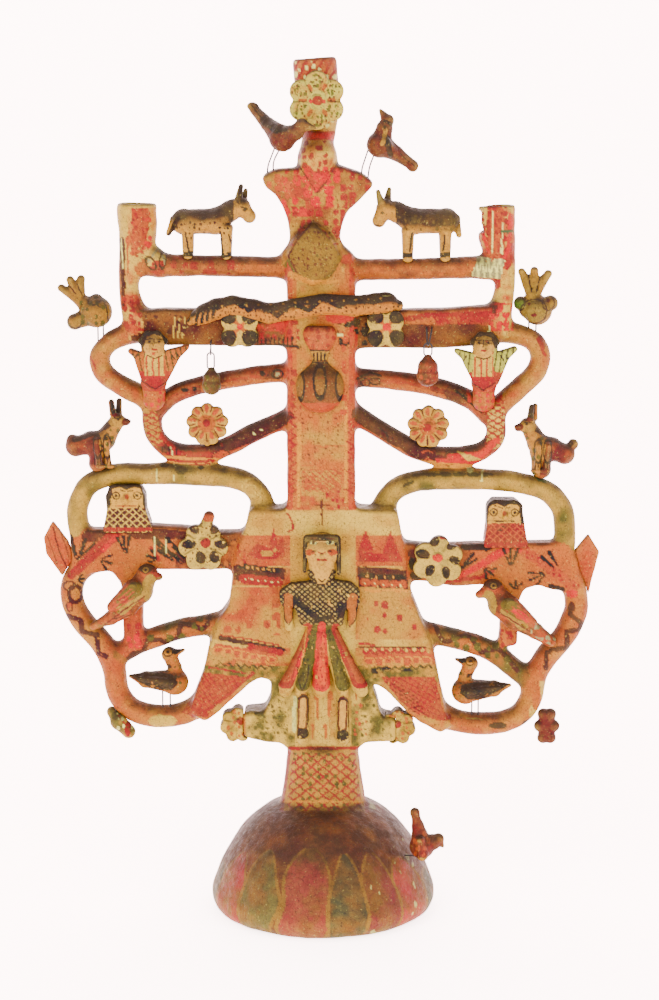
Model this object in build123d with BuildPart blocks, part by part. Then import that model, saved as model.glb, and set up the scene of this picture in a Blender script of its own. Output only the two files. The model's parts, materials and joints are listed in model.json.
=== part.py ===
"""Painted clay tree-of-life candelabra: coils, slabs, luted figures, wire-mounted birds and two pendants.

Millimetres, +Z up. The origin is the centre of the base's foot ring, on the table. The front faces -Y.
A point written (x, z) lies in the tree's middle plane, y = 0.
"""
import os
from math import cos, radians, sin, tan

from build123d import *

os.makedirs("parts", exist_ok=True)

# Overall sizes
BASE_RADIUS = 96.5      # widest radius of the domed base, a little above the table
BASE_HEIGHT = 93.0
BASE_WALL = 9.0
FOOT_RADIUS = 89.0      # radius of the foot ring
STEM_TOP = 143.0        # the bell panel stands on the stem here
PANEL_TOP = 352.0       # the trunk stands on the bell panel here
TRUNK_TOP = 556.0       # the crown bracket stands on the trunk here
SLAB_DEPTH = 34.0       # front to back, bell panel and trunk
FRONT = -SLAB_DEPTH / 2

# Clay coils and bars
ARM_RADIUS = 10.0
THIN_ARM_RADIUS = 8.2
CURL_RADIUS = 9.0
CROSS_RADIUS = 9.0
LOOP_RADIUS = 9.3
BAR_DEPTH = 22.0        # the flat middle bar, front to back
SHELF_DEPTH = 20.0
BRACKET_DEPTH = 28.0

# Candle cups, for a standard 22 mm candle
CANDLE_BORE = 12.0      # bore radius
CANDLE_DEPTH = 26.0
CROWN_TILT = 4.6        # degrees, the top cup leans to -X

# Iron wire, the birds' springy legs and the pendants' hooks
WIRE_RADIUS = 0.65
SOCKET_RADIUS = 1.25    # the clay socket that a leg stands in
SOCKET_DEPTH = 5.6
LEG_DEPTH = 5.0         # how deep a leg reaches into its socket
EYE_GAP = 0.3           # between a hook and the eye that hangs on it


def keep(part, label):
    """Name a finished piece and write it."""
    part.label = label
    export_step(part, f"parts/{label}.step")
    return part


def side_name(name, side):
    return f"{name}_{'left' if side < 0 else 'right'}"


def bend_radii(points):
    """The largest arc that each corner's two runs allow."""
    corners = [Vector(*p) for p in points]
    radii = []
    for before, corner, after in zip(corners, corners[1:], corners[2:]):
        run_in = corner - before
        run_out = after - corner
        turn = radians(run_in.get_angle(run_out))
        radii.append(0.45 * min(run_in.length, run_out.length) / tan(turn / 2))
    return radii


def tube(points, radius):
    """A round rod along straight runs joined by tangent arcs, with square ends."""
    with BuildPart() as rod:
        with BuildLine() as route:
            if len(points) > 2:
                FilletPolyline(*points, radius=bend_radii(points))
            else:
                Line(*points)
        with BuildSketch(Plane(origin=route.line @ 0, z_dir=route.line % 0)):
            Circle(radius)
        sweep(path=route.line)
    return rod.part


def coil(points, radius, y=0.0):
    """A rolled clay coil through the points (x, z), with rounded ends."""
    route = [(x, y, z) for x, z in points]
    body = tube(route, radius)
    with BuildPart() as rolled:
        add(body)
        with Locations(route[0], route[-1]):
            Sphere(radius)
    return rolled.part


def slab(outline, front, back, soft=0.0):
    """A flat piece cut to the outline of (x, z) points, between two depths, its corners rounded by soft."""
    with BuildPart() as cut:
        with BuildSketch(Plane.XZ.offset(-back)) as face:
            with BuildLine():
                Polyline(*outline, close=True)
            make_face()
            if soft:
                fillet(face.vertices(), soft)
        extrude(amount=back - front)
    return cut.part


def limb(*stations):
    """A rolled and pinched piece: balls at (x, y, z, r), joined by cones a little thinner than the balls."""
    waist = 0.93
    with BuildPart() as body:
        for x, y, z, r in stations:
            with Locations((x, y, z)):
                Sphere(r)
        for (x0, y0, z0, r0), (x1, y1, z1, r1) in zip(stations, stations[1:]):
            start = Vector(x0, y0, z0)
            way = Vector(x1, y1, z1) - start
            with Locations(Plane(origin=start, z_dir=way).location):
                if abs(r0 - r1) < 0.05:
                    Cylinder(waist * r0, way.length, align=(Align.CENTER, Align.CENTER, Align.MIN))
                else:
                    Cone(waist * r0, waist * r1, way.length, align=(Align.CENTER, Align.CENTER, Align.MIN))
    return body.part


def joined(*pieces, cut=()):
    """Pieces pressed into one, cut back where they bed on the pieces in cut."""
    with BuildPart() as whole:
        for piece in pieces:
            add(piece)
        for other in cut:
            add(other, mode=Mode.SUBTRACT)
    return whole.part


def rosette(x, z, front, back, radius, petals, turn=90.0):
    """A flat flower: round petals about a middle, facing -Y."""
    petal = radius * sin(radians(180 / petals)) / (1 + sin(radians(180 / petals))) * 1.18
    with BuildPart() as flower:
        with BuildSketch(Plane(origin=(x, back, z), x_dir=(1, 0, 0), z_dir=(0, -1, 0))):
            Circle(radius - petal)
            with PolarLocations(radius - petal, petals, start_angle=turn):
                Circle(petal)
        extrude(amount=back - front)
    return flower.part


def socket(x, y, z, direction=(0, 0, 1)):
    """The hole that a wire leg stands in. The point is the hole's mouth."""
    mouth = Vector(x, y, z)
    with BuildPart() as hole:
        with Locations(Plane(origin=mouth - Vector(*direction).normalized() * SOCKET_DEPTH,
                             z_dir=direction).location):
            Cylinder(SOCKET_RADIUS, SOCKET_DEPTH + ARM_RADIUS, align=(Align.CENTER, Align.CENTER, Align.MIN))
    return hole.part


def legs(*routes):
    """Wire legs in one part. A route starts at its socket's mouth, and reaches LEG_DEPTH below it."""
    wires = []
    for (x, y, z), *rest in routes:
        wires.append(tube([(x, y, z - LEG_DEPTH), *rest], WIRE_RADIUS))
    return joined(*wires)


# ---------------------------------------------------------------- base and stem
def dome_profile(inset):
    """Half of the dome's section, inset from the outside by a wall."""
    edge = [(FOOT_RADIUS, 0), (BASE_RADIUS, 12), (93, 27), (85, 46), (74, 64), (62, 78), (48, 88), (30, BASE_HEIGHT)]
    return [(r - inset, max(z - inset * z / BASE_HEIGHT, 0)) for r, z in edge]


def dome_solid(inset):
    profile = dome_profile(inset)
    with BuildPart() as dome:
        with BuildSketch(Plane.XZ):
            with BuildLine():
                Spline(*profile)
                Polyline(profile[-1], (0, profile[-1][1]), (0, 0), profile[0])
            make_face()
        revolve(axis=Axis.Z)
    return dome.part


dome_outside = dome_solid(0)
dome_inside = dome_solid(BASE_WALL)

BASE_BIRD_BEARING = -27.5                       # degrees round from +X
BASE_BIRD_OUT = Vector(cos(radians(BASE_BIRD_BEARING)), sin(radians(BASE_BIRD_BEARING)), 0.12).normalized()
BASE_BIRD_ROOT = Vector(71, -37, 56)            # where its leg leaves the dome

base_dome = joined(dome_outside, cut=(dome_inside, socket(*BASE_BIRD_ROOT, BASE_BIRD_OUT)))
keep(base_dome, "base_dome")

with BuildPart() as stem:
    with BuildSketch(Plane.XY.offset(80)):
        Ellipse(38, 33)
    with BuildSketch(Plane.XY.offset(100)):
        Ellipse(35.5, 29)
    with BuildSketch(Plane.XY.offset(STEM_TOP)):
        Ellipse(30, 22)
    loft()
    add(dome_outside, mode=Mode.SUBTRACT)
keep(stem.part, "stem")

# ---------------------------------------------------------------- bell panel and trunk
panel_right = [
    (30, STEM_TOP), (36, 149), (62, 150), (62, 170), (50, 172), (46, 187), (40, 203), (49, 198), (57, 191),
    (69, 178), (82, 167), (101, 157), (110, 165), (105, 173), (100, 200), (94, 230), (84, 256), (75, 278),
    (73, 291), (68, 322), (63, 348), (62, PANEL_TOP),
]
panel_left = [
    (-62, PANEL_TOP), (-66, 333), (-71, 322), (-76, 298), (-80, 270), (-88, 258), (-97, 234), (-102, 211),
    (-110, 190), (-114, 176), (-101, 167), (-89, 176), (-75, 189), (-62, 201), (-54, 206), (-44, 204),
    (-45, 188), (-50, 177), (-68, 176), (-68, 154), (-49, 149), (-36, 148), (-30, STEM_TOP),
]
bell_panel = keep(slab(panel_right + panel_left, FRONT, -FRONT), "bell_panel")

middle_outline = [
    (-156, 518), (-130, 520), (-30, 519), (25, 515), (60, 519), (100, 520), (146, 523),
    (144, 490), (100, 487), (30, 487), (-28, 489), (-130, 489), (-158, 494),
]
middle_block = slab(middle_outline, -BAR_DEPTH / 2, BAR_DEPTH / 2, soft=3)
upper_coil = coil([(-158, 556), (-60, 554.5), (10, 552), (80, 552), (150, 555)], 9.2)

trunk_block = slab([(-30, PANEL_TOP), (27, PANEL_TOP), (27, 545), (22, TRUNK_TOP), (-28, TRUNK_TOP), (-30, 545)],
                   FRONT, -FRONT)
trunk = keep(joined(trunk_block, cut=(middle_block, upper_coil)), "trunk")

# ---------------------------------------------------------------- candle cups
def cup_post(rings, rim_x, rim_z):
    """A post that widens into a candle cup. rings are (x, z, r)."""
    with BuildPart() as cup:
        for x, z, r in rings:
            with BuildSketch(Plane.XY.offset(z)):
                with Locations((x, 0)):
                    Circle(r)
        loft()
        with Locations((rim_x, 0, rim_z)):
            Hole(CANDLE_BORE, depth=CANDLE_DEPTH)
    return cup.part


CUP_LEFT = Vector(-153.3, 0, 608)
CUP_RIGHT = Vector(143.0, 0, 607)
left_rings = [(-158.5, 496, 8.5), (-160.5, 530, 9), (-160.5, 552, 9.5), (-156, 568, 13.5), (-153.6, 585, 16.6),
              (CUP_LEFT.X, CUP_LEFT.Z, 17.5)]
right_rings = [(149, 496, 9.5), (150.5, 530, 9), (151, 548, 9.3), (147, 565, 13), (144, 583, 16),
               (CUP_RIGHT.X, CUP_RIGHT.Z, 16.8)]
cup_left = keep(cup_post(left_rings, CUP_LEFT.X, CUP_LEFT.Z), "cup_left")
cup_right = keep(cup_post(right_rings, CUP_RIGHT.X, CUP_RIGHT.Z), "cup_right")

HOOK_LEFT = Vector(-93, -20, 483)       # the low point of each hook's bend, on the wire's middle line
HOOK_RIGHT = Vector(87, -21, 491)
hook_left = tube([(-93, -7, 494), (-93, -16.5, 494), (-93, -17.4, 483), (-93, -22.6, 483), (-93, -23.5, 488)],
                 WIRE_RADIUS)
hook_right = tube([(86, -7, 505), (86, -17, 504.5), (86.6, -18.4, 491), (87.4, -23.6, 491), (90.5, -17, 504.5),
                   (90.5, -7, 505)], WIRE_RADIUS)
keep(Compound(children=[hook_left.solid(), hook_right.solid()]), "pendant_hooks")

upper_bar = keep(joined(upper_coil, cut=(cup_left, cup_right)), "upper_bar")
middle_bar = keep(joined(middle_block, cut=(cup_left, cup_right, hook_left, hook_right)), "middle_bar")

# ---------------------------------------------------------------- crown
DOVE_FEET = {
    -1: [(-45.5, -9, 633.0), (-40.5, -9, 634.3)],
    1: [(32.0, -5, 632.3), (37.0, -5, 629.0)],
}
bracket_outline = [
    (-31, TRUNK_TOP), (-35, 566), (-28, 574), (-27, 582), (-29, 593), (-33, 604), (-39, 614), (-47, 620),
    (-51, 629), (-40, 635), (-20, 636), (14, 638), (33, 632), (43, 623), (30, 609), (20, 600), (16, 590),
    (14, 578), (18, 571), (26, 565), (22, TRUNK_TOP),
]
leaf_outline = [(-8, 592), (-20, 578), (-29, 564), (-22, 551), (-8, 541), (6, 550), (15, 563), (4, 578)]
bracket_block = slab(bracket_outline, -BRACKET_DEPTH / 2, BRACKET_DEPTH / 2, soft=2)
leaf_block = slab(leaf_outline, FRONT - 4, -2, soft=3)

with BuildPart() as crown:
    with BuildSketch(Plane(origin=(-4.5, 0, 0), x_dir=(1, 0, 0), z_dir=(0, -1, 0))):
        with BuildLine():
            Spline((0, 610), (8, 619), (14.5, 632), (16.5, 645), (13.5, 656), (12.5, 664))
            Polyline((12.5, 664), (0, 664), (0, 610))
        make_face()
    revolve(axis=Axis((-4.5, 0, 0), (0, 0, 1)))
    cup_frame = Plane(origin=(-1.5, 0, 658), x_dir=(1, 0, 0), z_dir=(0, -1, 0)).rotated((0, -CROWN_TILT, 0))
    cup_up = cup_frame.y_dir
    with BuildSketch(cup_frame):
        with BuildLine():
            Spline((12.0, 0), (14.5, 12), (17.5, 30), (18.4, 50), (18.7, 68))
            Polyline((18.7, 68), (0, 68), (0, 0), (12.0, 0))
        make_face()
    revolve(axis=Axis(cup_frame.origin, cup_up))
    with Locations(Plane(origin=cup_frame.origin + cup_up * 68, z_dir=cup_up).location):
        Hole(CANDLE_BORE, depth=CANDLE_DEPTH)
crown_cup = keep(crown.part, "crown_cup")

dove_sockets = [socket(*foot) for side in (-1, 1) for foot in DOVE_FEET[side]]
crown_bracket = keep(joined(bracket_block, leaf_block, cut=(trunk_block, upper_coil, crown_cup, *dove_sockets)),
                     "crown_bracket")

# ---------------------------------------------------------------- branches
loop_routes = {
    -1: [(-50, 342), (-50, 357), (-60, 371), (-78, 377.5), (-130, 380), (-176, 380), (-200, 371), (-208.5, 350),
         (-208, 338), (-206, 328)],
    1: [(50, 340), (50, 353), (60, 367), (78, 374), (115, 375.5), (160, 374), (190, 366), (204, 349),
        (205, 330), (205.5, 320)],
}
shelf_outlines = {
    -1: [(-68, 331), (-90, 331), (-115, 335), (-145, 337), (-175, 333), (-200, 333), (-214, 322), (-212, 302),
         (-195, 295), (-179, 297), (-171, 286), (-170, 238), (-154, 238), (-153, 285), (-146, 299), (-110, 298),
         (-72, 299)],
    1: [(66, 322), (90, 320), (120, 321), (150, 321), (190, 322), (206, 321), (215, 308), (220, 284), (208, 280),
        (194, 281), (182, 285), (171, 282), (166, 270), (166, 232), (150, 232), (151, 265), (139, 285), (110, 284),
        (90, 288), (71, 290)],
}
outer_routes = {
    -1: [(-196, 306), (-211, 293), (-216, 273), (-207, 254), (-188, 233), (-179, 213), (-177, 190), (-166, 174),
         (-145, 168), (-120, 170), (-96, 184)],
    1: [(202, 297), (214, 284), (217, 264), (208, 241), (190, 221), (181, 203), (179.5, 186), (171, 170.5),
        (155, 163), (135, 161.5), (113, 164.5), (93, 176)],
}
cross_routes = {
    -1: [(-80, 254), (-100, 249), (-122, 246), (-150, 236), (-180, 221)],
    1: [(80, 245), (100, 240), (125, 234), (148, 224), (172, 204)],
}
DUCK_FEET = {
    -1: [(-137.5, -3.4, 177.2), (-131.0, -3.4, 177.2)],
    1: [(127.5, -3.4, 170.8), (133.0, -3.4, 170.8)],
}
branches = {}
for side in (-1, 1):
    outer_coil = coil(outer_routes[side], ARM_RADIUS)
    cross_coil = coil(cross_routes[side], CROSS_RADIUS)
    duck_sockets = [socket(*foot) for foot in DUCK_FEET[side]]
    cross = joined(cross_coil, cut=(bell_panel, outer_coil))
    shelf = joined(slab(shelf_outlines[side], -SHELF_DEPTH / 2, SHELF_DEPTH / 2),
                   cut=(bell_panel, cross_coil, outer_coil))
    outer = joined(outer_coil, cut=(bell_panel, *duck_sockets))
    loop = joined(coil(loop_routes[side], LOOP_RADIUS), cut=(bell_panel, shelf, trunk, outer_coil))
    for name, piece in (("cross_arm", cross), ("shelf", shelf), ("outer_arm", outer), ("loop", loop)):
        branches[name, side] = keep(piece, side_name(name, side))

lower_routes = {
    -1: [(-26, 466.5), (-60, 463), (-85, 459), (-112, 453), (-128, 446), (-138, 436)],
    1: [(24, 462), (50, 460), (80, 457), (108, 450), (126, 442), (138, 430)],
}
curl_routes = {
    -1: [(-152, 500), (-166, 497), (-180, 491), (-188.5, 479), (-184, 465), (-168, 454), (-146, 443)],
    1: [(146, 500), (160, 499), (176, 494), (183.5, 480), (178, 465), (162, 450), (146, 436)],
}
hook_routes = {
    -1: [(-143, 436), (-144, 424), (-141, 411), (-131, 401), (-115, 397), (-97, 397), (-80, 403), (-58, 415),
         (-26, 429)],
    1: [(144, 432), (146.5, 422), (145, 408), (134, 398.5), (118, 395), (95, 395.5), (78, 399.5), (60, 410),
        (24, 433)],
}
FANTAIL_FEET = {
    -1: [(-188.0, 0, 493.5), (-183.5, 0, 498.0)],
    1: [(172.0, 0, 503.5), (178.0, 0, 501.0)],
}
for side in (-1, 1):
    fan_sockets = [socket(*foot) for foot in FANTAIL_FEET[side]]
    cup = cup_left if side < 0 else cup_right
    loop = branches["loop", side]
    lower_coil = coil(lower_routes[side], THIN_ARM_RADIUS)
    curl_coil = coil(curl_routes[side], CURL_RADIUS)
    hook_coil = coil(hook_routes[side], THIN_ARM_RADIUS)
    curl = joined(curl_coil, cut=(middle_block, cup, *fan_sockets))
    lower = joined(lower_coil, cut=(trunk, curl_coil))
    hook = joined(hook_coil, cut=(trunk, loop, lower_coil, curl_coil))
    for name, piece in (("curl", curl), ("lower_bar", lower), ("hook_arm", hook)):
        branches[name, side] = keep(piece, side_name(name, side))

# ---------------------------------------------------------------- relief figures on the trunk and panel
serpent_route = [
    (-104, -14, 513), (-92, -13, 519.5), (-75, -11.5, 523.5), (-58, -12, 520.5), (-44, -16, 517),
    (-24, -20.5, 521), (0, -22, 526.5), (26, -20, 524.5), (44, -14, 526), (54, -12, 526.5),
]
serpent_tail = limb((-104, -14, 513, 6.6), (-110, -14, 509.5, 3.0))
serpent_head = limb((52, -12, 526.7, 7.8), (62, -11, 523, 4.9))
serpent = keep(joined(tube(serpent_route, 6.7), serpent_tail, serpent_head, cut=(trunk_block, middle_block)),
               "serpent")

with BuildPart() as jug:
    with BuildSketch(Plane(origin=(-2.5, -8, 0), x_dir=(1, 0, 0), z_dir=(0, -1, 0))):
        with BuildLine():
            Spline((10, 434), (18, 440), (22.5, 454), (19, 468), (13, 475), (13, 485), (17.5, 498), (15, 507))
            Polyline((15, 507), (0, 507), (0, 434), (10, 434))
        make_face()
    revolve(axis=Axis((-2.5, -8, 0), (0, 0, 1)))
    for other in (trunk, middle_bar, serpent):
        add(other, mode=Mode.SUBTRACT)
keep(jug.part.solids().sort_by(SortBy.VOLUME)[-1], "jug")

blouse = slab([(-1, 250), (17, 254), (19, 268), (31, 271), (31, 284), (24, 291), (9, 293), (-1, 286), (-10, 292),
               (-28, 290), (-37, 283), (-36, 272), (-24, 270), (-19, 254)], FRONT - 8, FRONT + 4, soft=2.5)
skirt = [limb((hip, FRONT - 2, 250, 4.5), ((hip + hem) / 2, FRONT - 3.5, 222, 6.0), (hem, FRONT - 3, 196, r))
         for hip, hem, r in ((-10, -32, 5.4), (-6, -19, 5.4), (-1, -2, 6.4), (4, 17, 5.4), (8, 33, 5.4))]
shins = [limb((x, FRONT, 190, 5.5), (x, FRONT - 1, 168, 5.5), (x, FRONT - 3, 154, 5.5)) for x in (-17, 17)]
arms = [limb((x0, FRONT - 3, 275, 5.2), (x1, FRONT - 3, 252, 4.0)) for x0, x1 in ((-30, -28.5), (25.5, 24))]
head = joined(limb((-1, FRONT - 2, 318, 15.5), (-1, FRONT - 2, 301, 12.5)),
              limb((-1, FRONT - 4, 303, 10), (-1, FRONT - 3, 286, 6)))
lady = keep(joined(blouse, head, *skirt, *shins, *arms, cut=(bell_panel, stem.part)), "lady")

# ---------------------------------------------------------------- angels, busts
angel_heads = {-1: (-141, 490, 10.0), 1: (134.5, 489, 10.5)}
wing_spans = {-1: (-27, 35), 1: (-31, 32)}      # wing tips, left and right of the head
for side in (-1, 1):
    x, z, r = angel_heads[side]
    low, high = wing_spans[side]
    feathers = [(x + low, z + 1), (x + low + 11, z - 9), (x - 9, z - 31), (x, z - 37), (x + 11, z - 31),
                (x + high - 12, z - 9), (x + high, z + 3), (x + 12, z - 3), (x, z - 8), (x - 12, z - 4)]
    wings = slab(feathers, -23, -12, soft=2)
    robe = limb((x, -12, z - 30, 11), (x, -8, z - 46, 9.5))
    neck = limb((x, -20, z, r), (x, -17, z - 14, 8))
    beds = [branches["curl", side], branches["lower_bar", side], branches["hook_arm", side], middle_bar,
            cup_left if side < 0 else cup_right]
    keep(joined(wings, robe, neck, cut=beds), side_name("angel", side))

bust_outlines = {
    -1: [(-186, 331), (-142.5, 331), (-149, 350), (-149.5, 363), (-154, 371), (-178, 371), (-183, 363),
         (-182, 350)],
    1: [(135.5, 318), (173.5, 318), (170, 338), (167.5, 354), (162, 359), (143, 359), (138, 354), (138, 338)],
}
for side in (-1, 1):
    keep(joined(slab(bust_outlines[side], -13, 9, soft=2.5), cut=(branches["shelf", side], branches["loop", side])),
         side_name("bust", side))

# ---------------------------------------------------------------- animals
donkeys = {
    -1: dict(rump=(-115, 591.5), shoulder=(-89, 592), crest=(-77, 600), poll=(-67.5, 603.5), muzzle=(-61, 596),
             ears=((-70, 609, -67.5, 621), (-66, 609, -64, 617)), tail=((-123, 593), (-128, 582)),
             fore=(-80, 563.5), hind=(-112, 563.5)),
    1: dict(rump=(102, 592), shoulder=(75, 592), crest=(62, 599), poll=(52, 602), muzzle=(46.5, 592.5),
            ears=((48, 608, 45.5, 616.5), (53.5, 609, 55, 618)), tail=((110, 594), (113, 580.5)),
            fore=(70.5, 561.5), hind=(101.5, 561.5)),
}
for side in (-1, 1):
    d = donkeys[side]
    trunk_of_body = limb((*d["rump"][:1], 0, d["rump"][1], 11), (*d["shoulder"][:1], 0, d["shoulder"][1], 11.5),
                         (d["crest"][0], 0, d["crest"][1], 9), (d["poll"][0], 0, d["poll"][1], 8),
                         (d["muzzle"][0], 0, d["muzzle"][1], 5.8))
    ears = [limb((x0, y, z0, 3.6), (x1, y * 1.2, z1, 2.2))
            for (x0, z0, x1, z1), y in zip(d["ears"], (-4.0, 4.0))]
    tail = limb((d["tail"][0][0], 0, d["tail"][0][1], 4.2), (d["tail"][1][0], 0, d["tail"][1][1], 2.6))
    feet = [limb((x, y, z + 22, 5.6), (x, y * 0.9, z, 4.6)) for x, z in (d["fore"], d["hind"]) for y in (-5.5, 5.5)]
    keep(joined(trunk_of_body, *ears, tail, *feet, cut=(upper_bar,)), side_name("donkey", side))

rabbits = {
    -1: dict(rump=(-208, 403.5, 9.0), back=(-195, 406, 10.5), chest=(-184, 409, 9.5), head=(-173, 425, 6.8),
             nose=(-165, 424, 3.2), ears=((-176, 431, -177.5, 441.5), (-172, 431, -171.5, 441.5)), foot=(-189, 389)),
    1: dict(rump=(203.5, 397, 9.0), back=(192, 401, 10.5), chest=(181, 406, 9.5), head=(172.5, 421, 7.0),
            nose=(164, 419, 3.2), ears=((174, 427, 175, 437), (178, 427, 178.5, 437)), foot=(184, 384)),
}
for side in (-1, 1):
    r = rabbits[side]
    body = limb(*((x, -1, z, radius) for x, z, radius in (r["rump"], r["back"], r["chest"], r["head"], r["nose"])))
    ears = [limb((x0, y, z0, 3.2), (x1, y, z1, 2.6)) for (x0, z0, x1, z1), y in zip(r["ears"], (-4.0, 2.5))]
    haunch = limb((r["foot"][0], -1, r["back"][1] - 2, 10.2), (r["foot"][0], -1, r["foot"][1], 8.6))
    keep(joined(body, haunch, *ears, cut=(branches["loop", side],)), side_name("rabbit", side))

parrots = {
    -1: [(-138.5, -17, 294.5, 3.4), (-148, -17, 296.5, 9.2), (-155, -18, 283, 12), (-166, -17, 269, 10),
         (-180, -14, 258, 6.4), (-195, -12, 250.5, 3.4)],
    1: [(132, -17, 279, 3.6), (143.5, -17, 283.5, 9.2), (151, -18, 271, 12), (162, -17, 259, 10.6),
        (180, -14, 247, 7.4), (193, -12, 237.5, 5.2)],
}
for side in (-1, 1):
    beds = [branches[name, side] for name in ("shelf", "cross_arm", "outer_arm")]
    keep(joined(limb(*parrots[side]), cut=beds), side_name("parrot", side))

# ---------------------------------------------------------------- birds on wire legs
duck_stations = [(113.5, 220, 1.6), (119, 218, 3.0), (126, 216, 6.8), (121.5, 205, 6.2), (121.5, 192, 11.6),
                 (146, 194, 7.5), (160, 197, 1.8)]


def duck(side):
    """A standing duck, beak to breast and breast to tail. The left one stands a little higher and further out."""
    if side > 0:
        stations = [(x, -4, z, r) for x, z, r in duck_stations]
    else:
        stations = [(-x - 5.2, -4, z + 8, r) for x, z, r in duck_stations]
    return joined(limb(*stations[:5]), limb(*stations[4:]))


doves = {
    -1: [(-56, 1, 683, 4.4), (-45, -9, 671.5, 6.2), (-33, -20, 660.5, 11), (-22, -31.5, 665.5, 7.0),
         (-17, -34, 671, 6.0), (-6, -37.5, 669, 1.4)],
    1: [(74, -3, 638, 4.6), (60, -6, 648, 6.6), (47, -8, 655, 11), (50.5, -9, 668, 7.0), (53, -9, 674.5, 5.6),
        (47, -9, 683, 1.6)],
}
fantails = {
    -1: [[(-189, 0, 516.5, 13.2), (-203, 0, 527, 5.5)], [(-203, 0, 527, 5.5), (-218, 0, 536.5, 3.4)],
         [(-203, 0, 527, 5.5), (-210.5, 0, 543.5, 3.4)], [(-203, 0, 527, 5.5), (-201.5, 0, 544, 3.6)],
         [(-195, 0, 513, 8.5), (-207, 0, 508.5, 7)], [(-192, 0, 520, 9.5), (-189, 0, 526, 6)]],
    1: [[(179, 0, 518, 12.4), (175, 0, 531, 6.5)], [(175, 0, 531, 6.5), (165.5, 0, 550, 3.4)],
        [(175, 0, 531, 6.5), (176, 0, 551, 3.6)], [(175, 0, 531, 6.5), (187.5, 0, 548.5, 3.4)],
        [(172, 0, 519, 8.5), (165, 0, 524, 6)], [(182, 0, 519, 8.5), (189.5, 0, 524, 6.6)]],
}
bird_legs = {
    "duck": {-1: legs([DUCK_FEET[-1][0], (-137.5, -3.4, 196)], [DUCK_FEET[-1][1], (-131, -3.4, 193)]),
             1: legs([DUCK_FEET[1][0], (127.5, -3.4, 185)], [DUCK_FEET[1][1], (133, -3.4, 187)])},
    "dove": {-1: legs([DOVE_FEET[-1][0], (-45.5, -9, 637), (-38.5, -14, 655)],
                      [DOVE_FEET[-1][1], (-41, -9.5, 641), (-34.5, -16, 653)]),
             1: legs([DOVE_FEET[1][0], (32, -5, 635), (38, -7, 653)],
                     [DOVE_FEET[1][1], (38, -5.5, 636), (43, -7, 649)])},
    "fantail": {-1: legs([FANTAIL_FEET[-1][0], (-188, 0, 508)], [FANTAIL_FEET[-1][1], (-183.5, 0, 509)]),
                1: legs([FANTAIL_FEET[1][0], (172, 0, 512)], [FANTAIL_FEET[1][1], (178, 0, 510)])},
}
for side in (-1, 1):
    flocks = {"duck": [duck(side)], "dove": [limb(*doves[side])],
              "fantail": [limb(*feather) for feather in fantails[side]]}
    for name, pieces in flocks.items():
        wires = bird_legs[name][side]
        keep(wires, side_name(name, side) + "_legs")
        keep(joined(*pieces), side_name(name, side))

leg_end = BASE_BIRD_ROOT + BASE_BIRD_OUT * 16
base_bird_leg = tube([tuple(BASE_BIRD_ROOT - BASE_BIRD_OUT * LEG_DEPTH), tuple(leg_end)], WIRE_RADIUS)
keep(base_bird_leg, "base_dove_leg")
bird_y = -44.0
base_dove = limb((77.5, bird_y, 97, 3.0), (80.5, bird_y, 84, 5.6), (84, bird_y, 66.5, 10.6), (93, bird_y, 70, 7.0),
                 (98, bird_y, 73, 5.0), (101.5, bird_y, 66.5, 1.8))
keep(base_dove, "base_dove")

# ---------------------------------------------------------------- flowers, leaves
keep(joined(rosette(-5, 691, -24, -14, 24, 6), cut=(crown_cup,)), "top_flower")

dark_flowers = [
    joined(rosette(-101, 319, -16, -7, 21, 6, turn=0), limb((-99, -11, 336, 6), (-96, -11, 345, 5)),
           cut=(branches["shelf", -1],)),
    joined(rosette(97, 307, -16, -7, 22, 6, turn=25), cut=(branches["shelf", 1],)),
    joined(rosette(-69, 504, -18, -8, 18, 4, turn=45), cut=(middle_bar, serpent)),
    joined(rosette(52, 504, -18, -8, 18, 4, turn=45), cut=(middle_bar, serpent)),
]
keep(Compound(children=[piece.solid() for piece in dark_flowers]), "dark_petal_flowers")

small_flowers = [
    joined(rosette(-97, 423, -9, -3, 18, 9), limb((-97, -5, 410, 3), (-97, -3, 402, 3)),
           cut=(branches["hook_arm", -1],)),
    joined(rosette(88.5, 421, -9, -3, 18, 9), limb((88.5, -5, 410, 3), (88.5, -3, 400, 3)),
           cut=(branches["hook_arm", 1],)),
    joined(rosette(-73, 164, -14, 2, 15.5, 7), cut=(bell_panel,)),
    joined(rosette(64, 162, -14, 2, 15.5, 7), cut=(bell_panel,)),
]
keep(Compound(children=[piece.solid() for piece in small_flowers]), "rosettes")

left_leaf = slab([(-229, 340), (-237, 325), (-235, 311), (-222, 292), (-214, 294), (-211, 308), (-216, 322)], -3, 3)
right_leaf = slab([(225, 328.5), (234.5, 313), (229, 290), (226, 276), (217, 280), (208, 295), (207, 306)], -3, 3)
bud = limb((-181, -2, 173, 5), (-175, -4, 165, 8), (-167, -4, 156, 6))
brown_flower = joined(*(limb((192, -2, 161, 7), (192 + 6 * cos(radians(a)), -4, 161 + 12 * sin(radians(a)), 5.2))
                        for a in range(0, 360, 60)))
trims = [
    joined(left_leaf, cut=(branches["outer_arm", -1], branches["loop", -1], branches["shelf", -1])),
    joined(right_leaf, cut=(branches["outer_arm", 1], branches["loop", 1], branches["shelf", 1])),
    joined(bud, cut=(branches["outer_arm", -1],)),
    joined(brown_flower, cut=(branches["outer_arm", 1],)),
]
keep(Compound(children=[piece.solids().sort_by(SortBy.VOLUME)[-1] for piece in trims]), "edge_ornaments")

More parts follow.
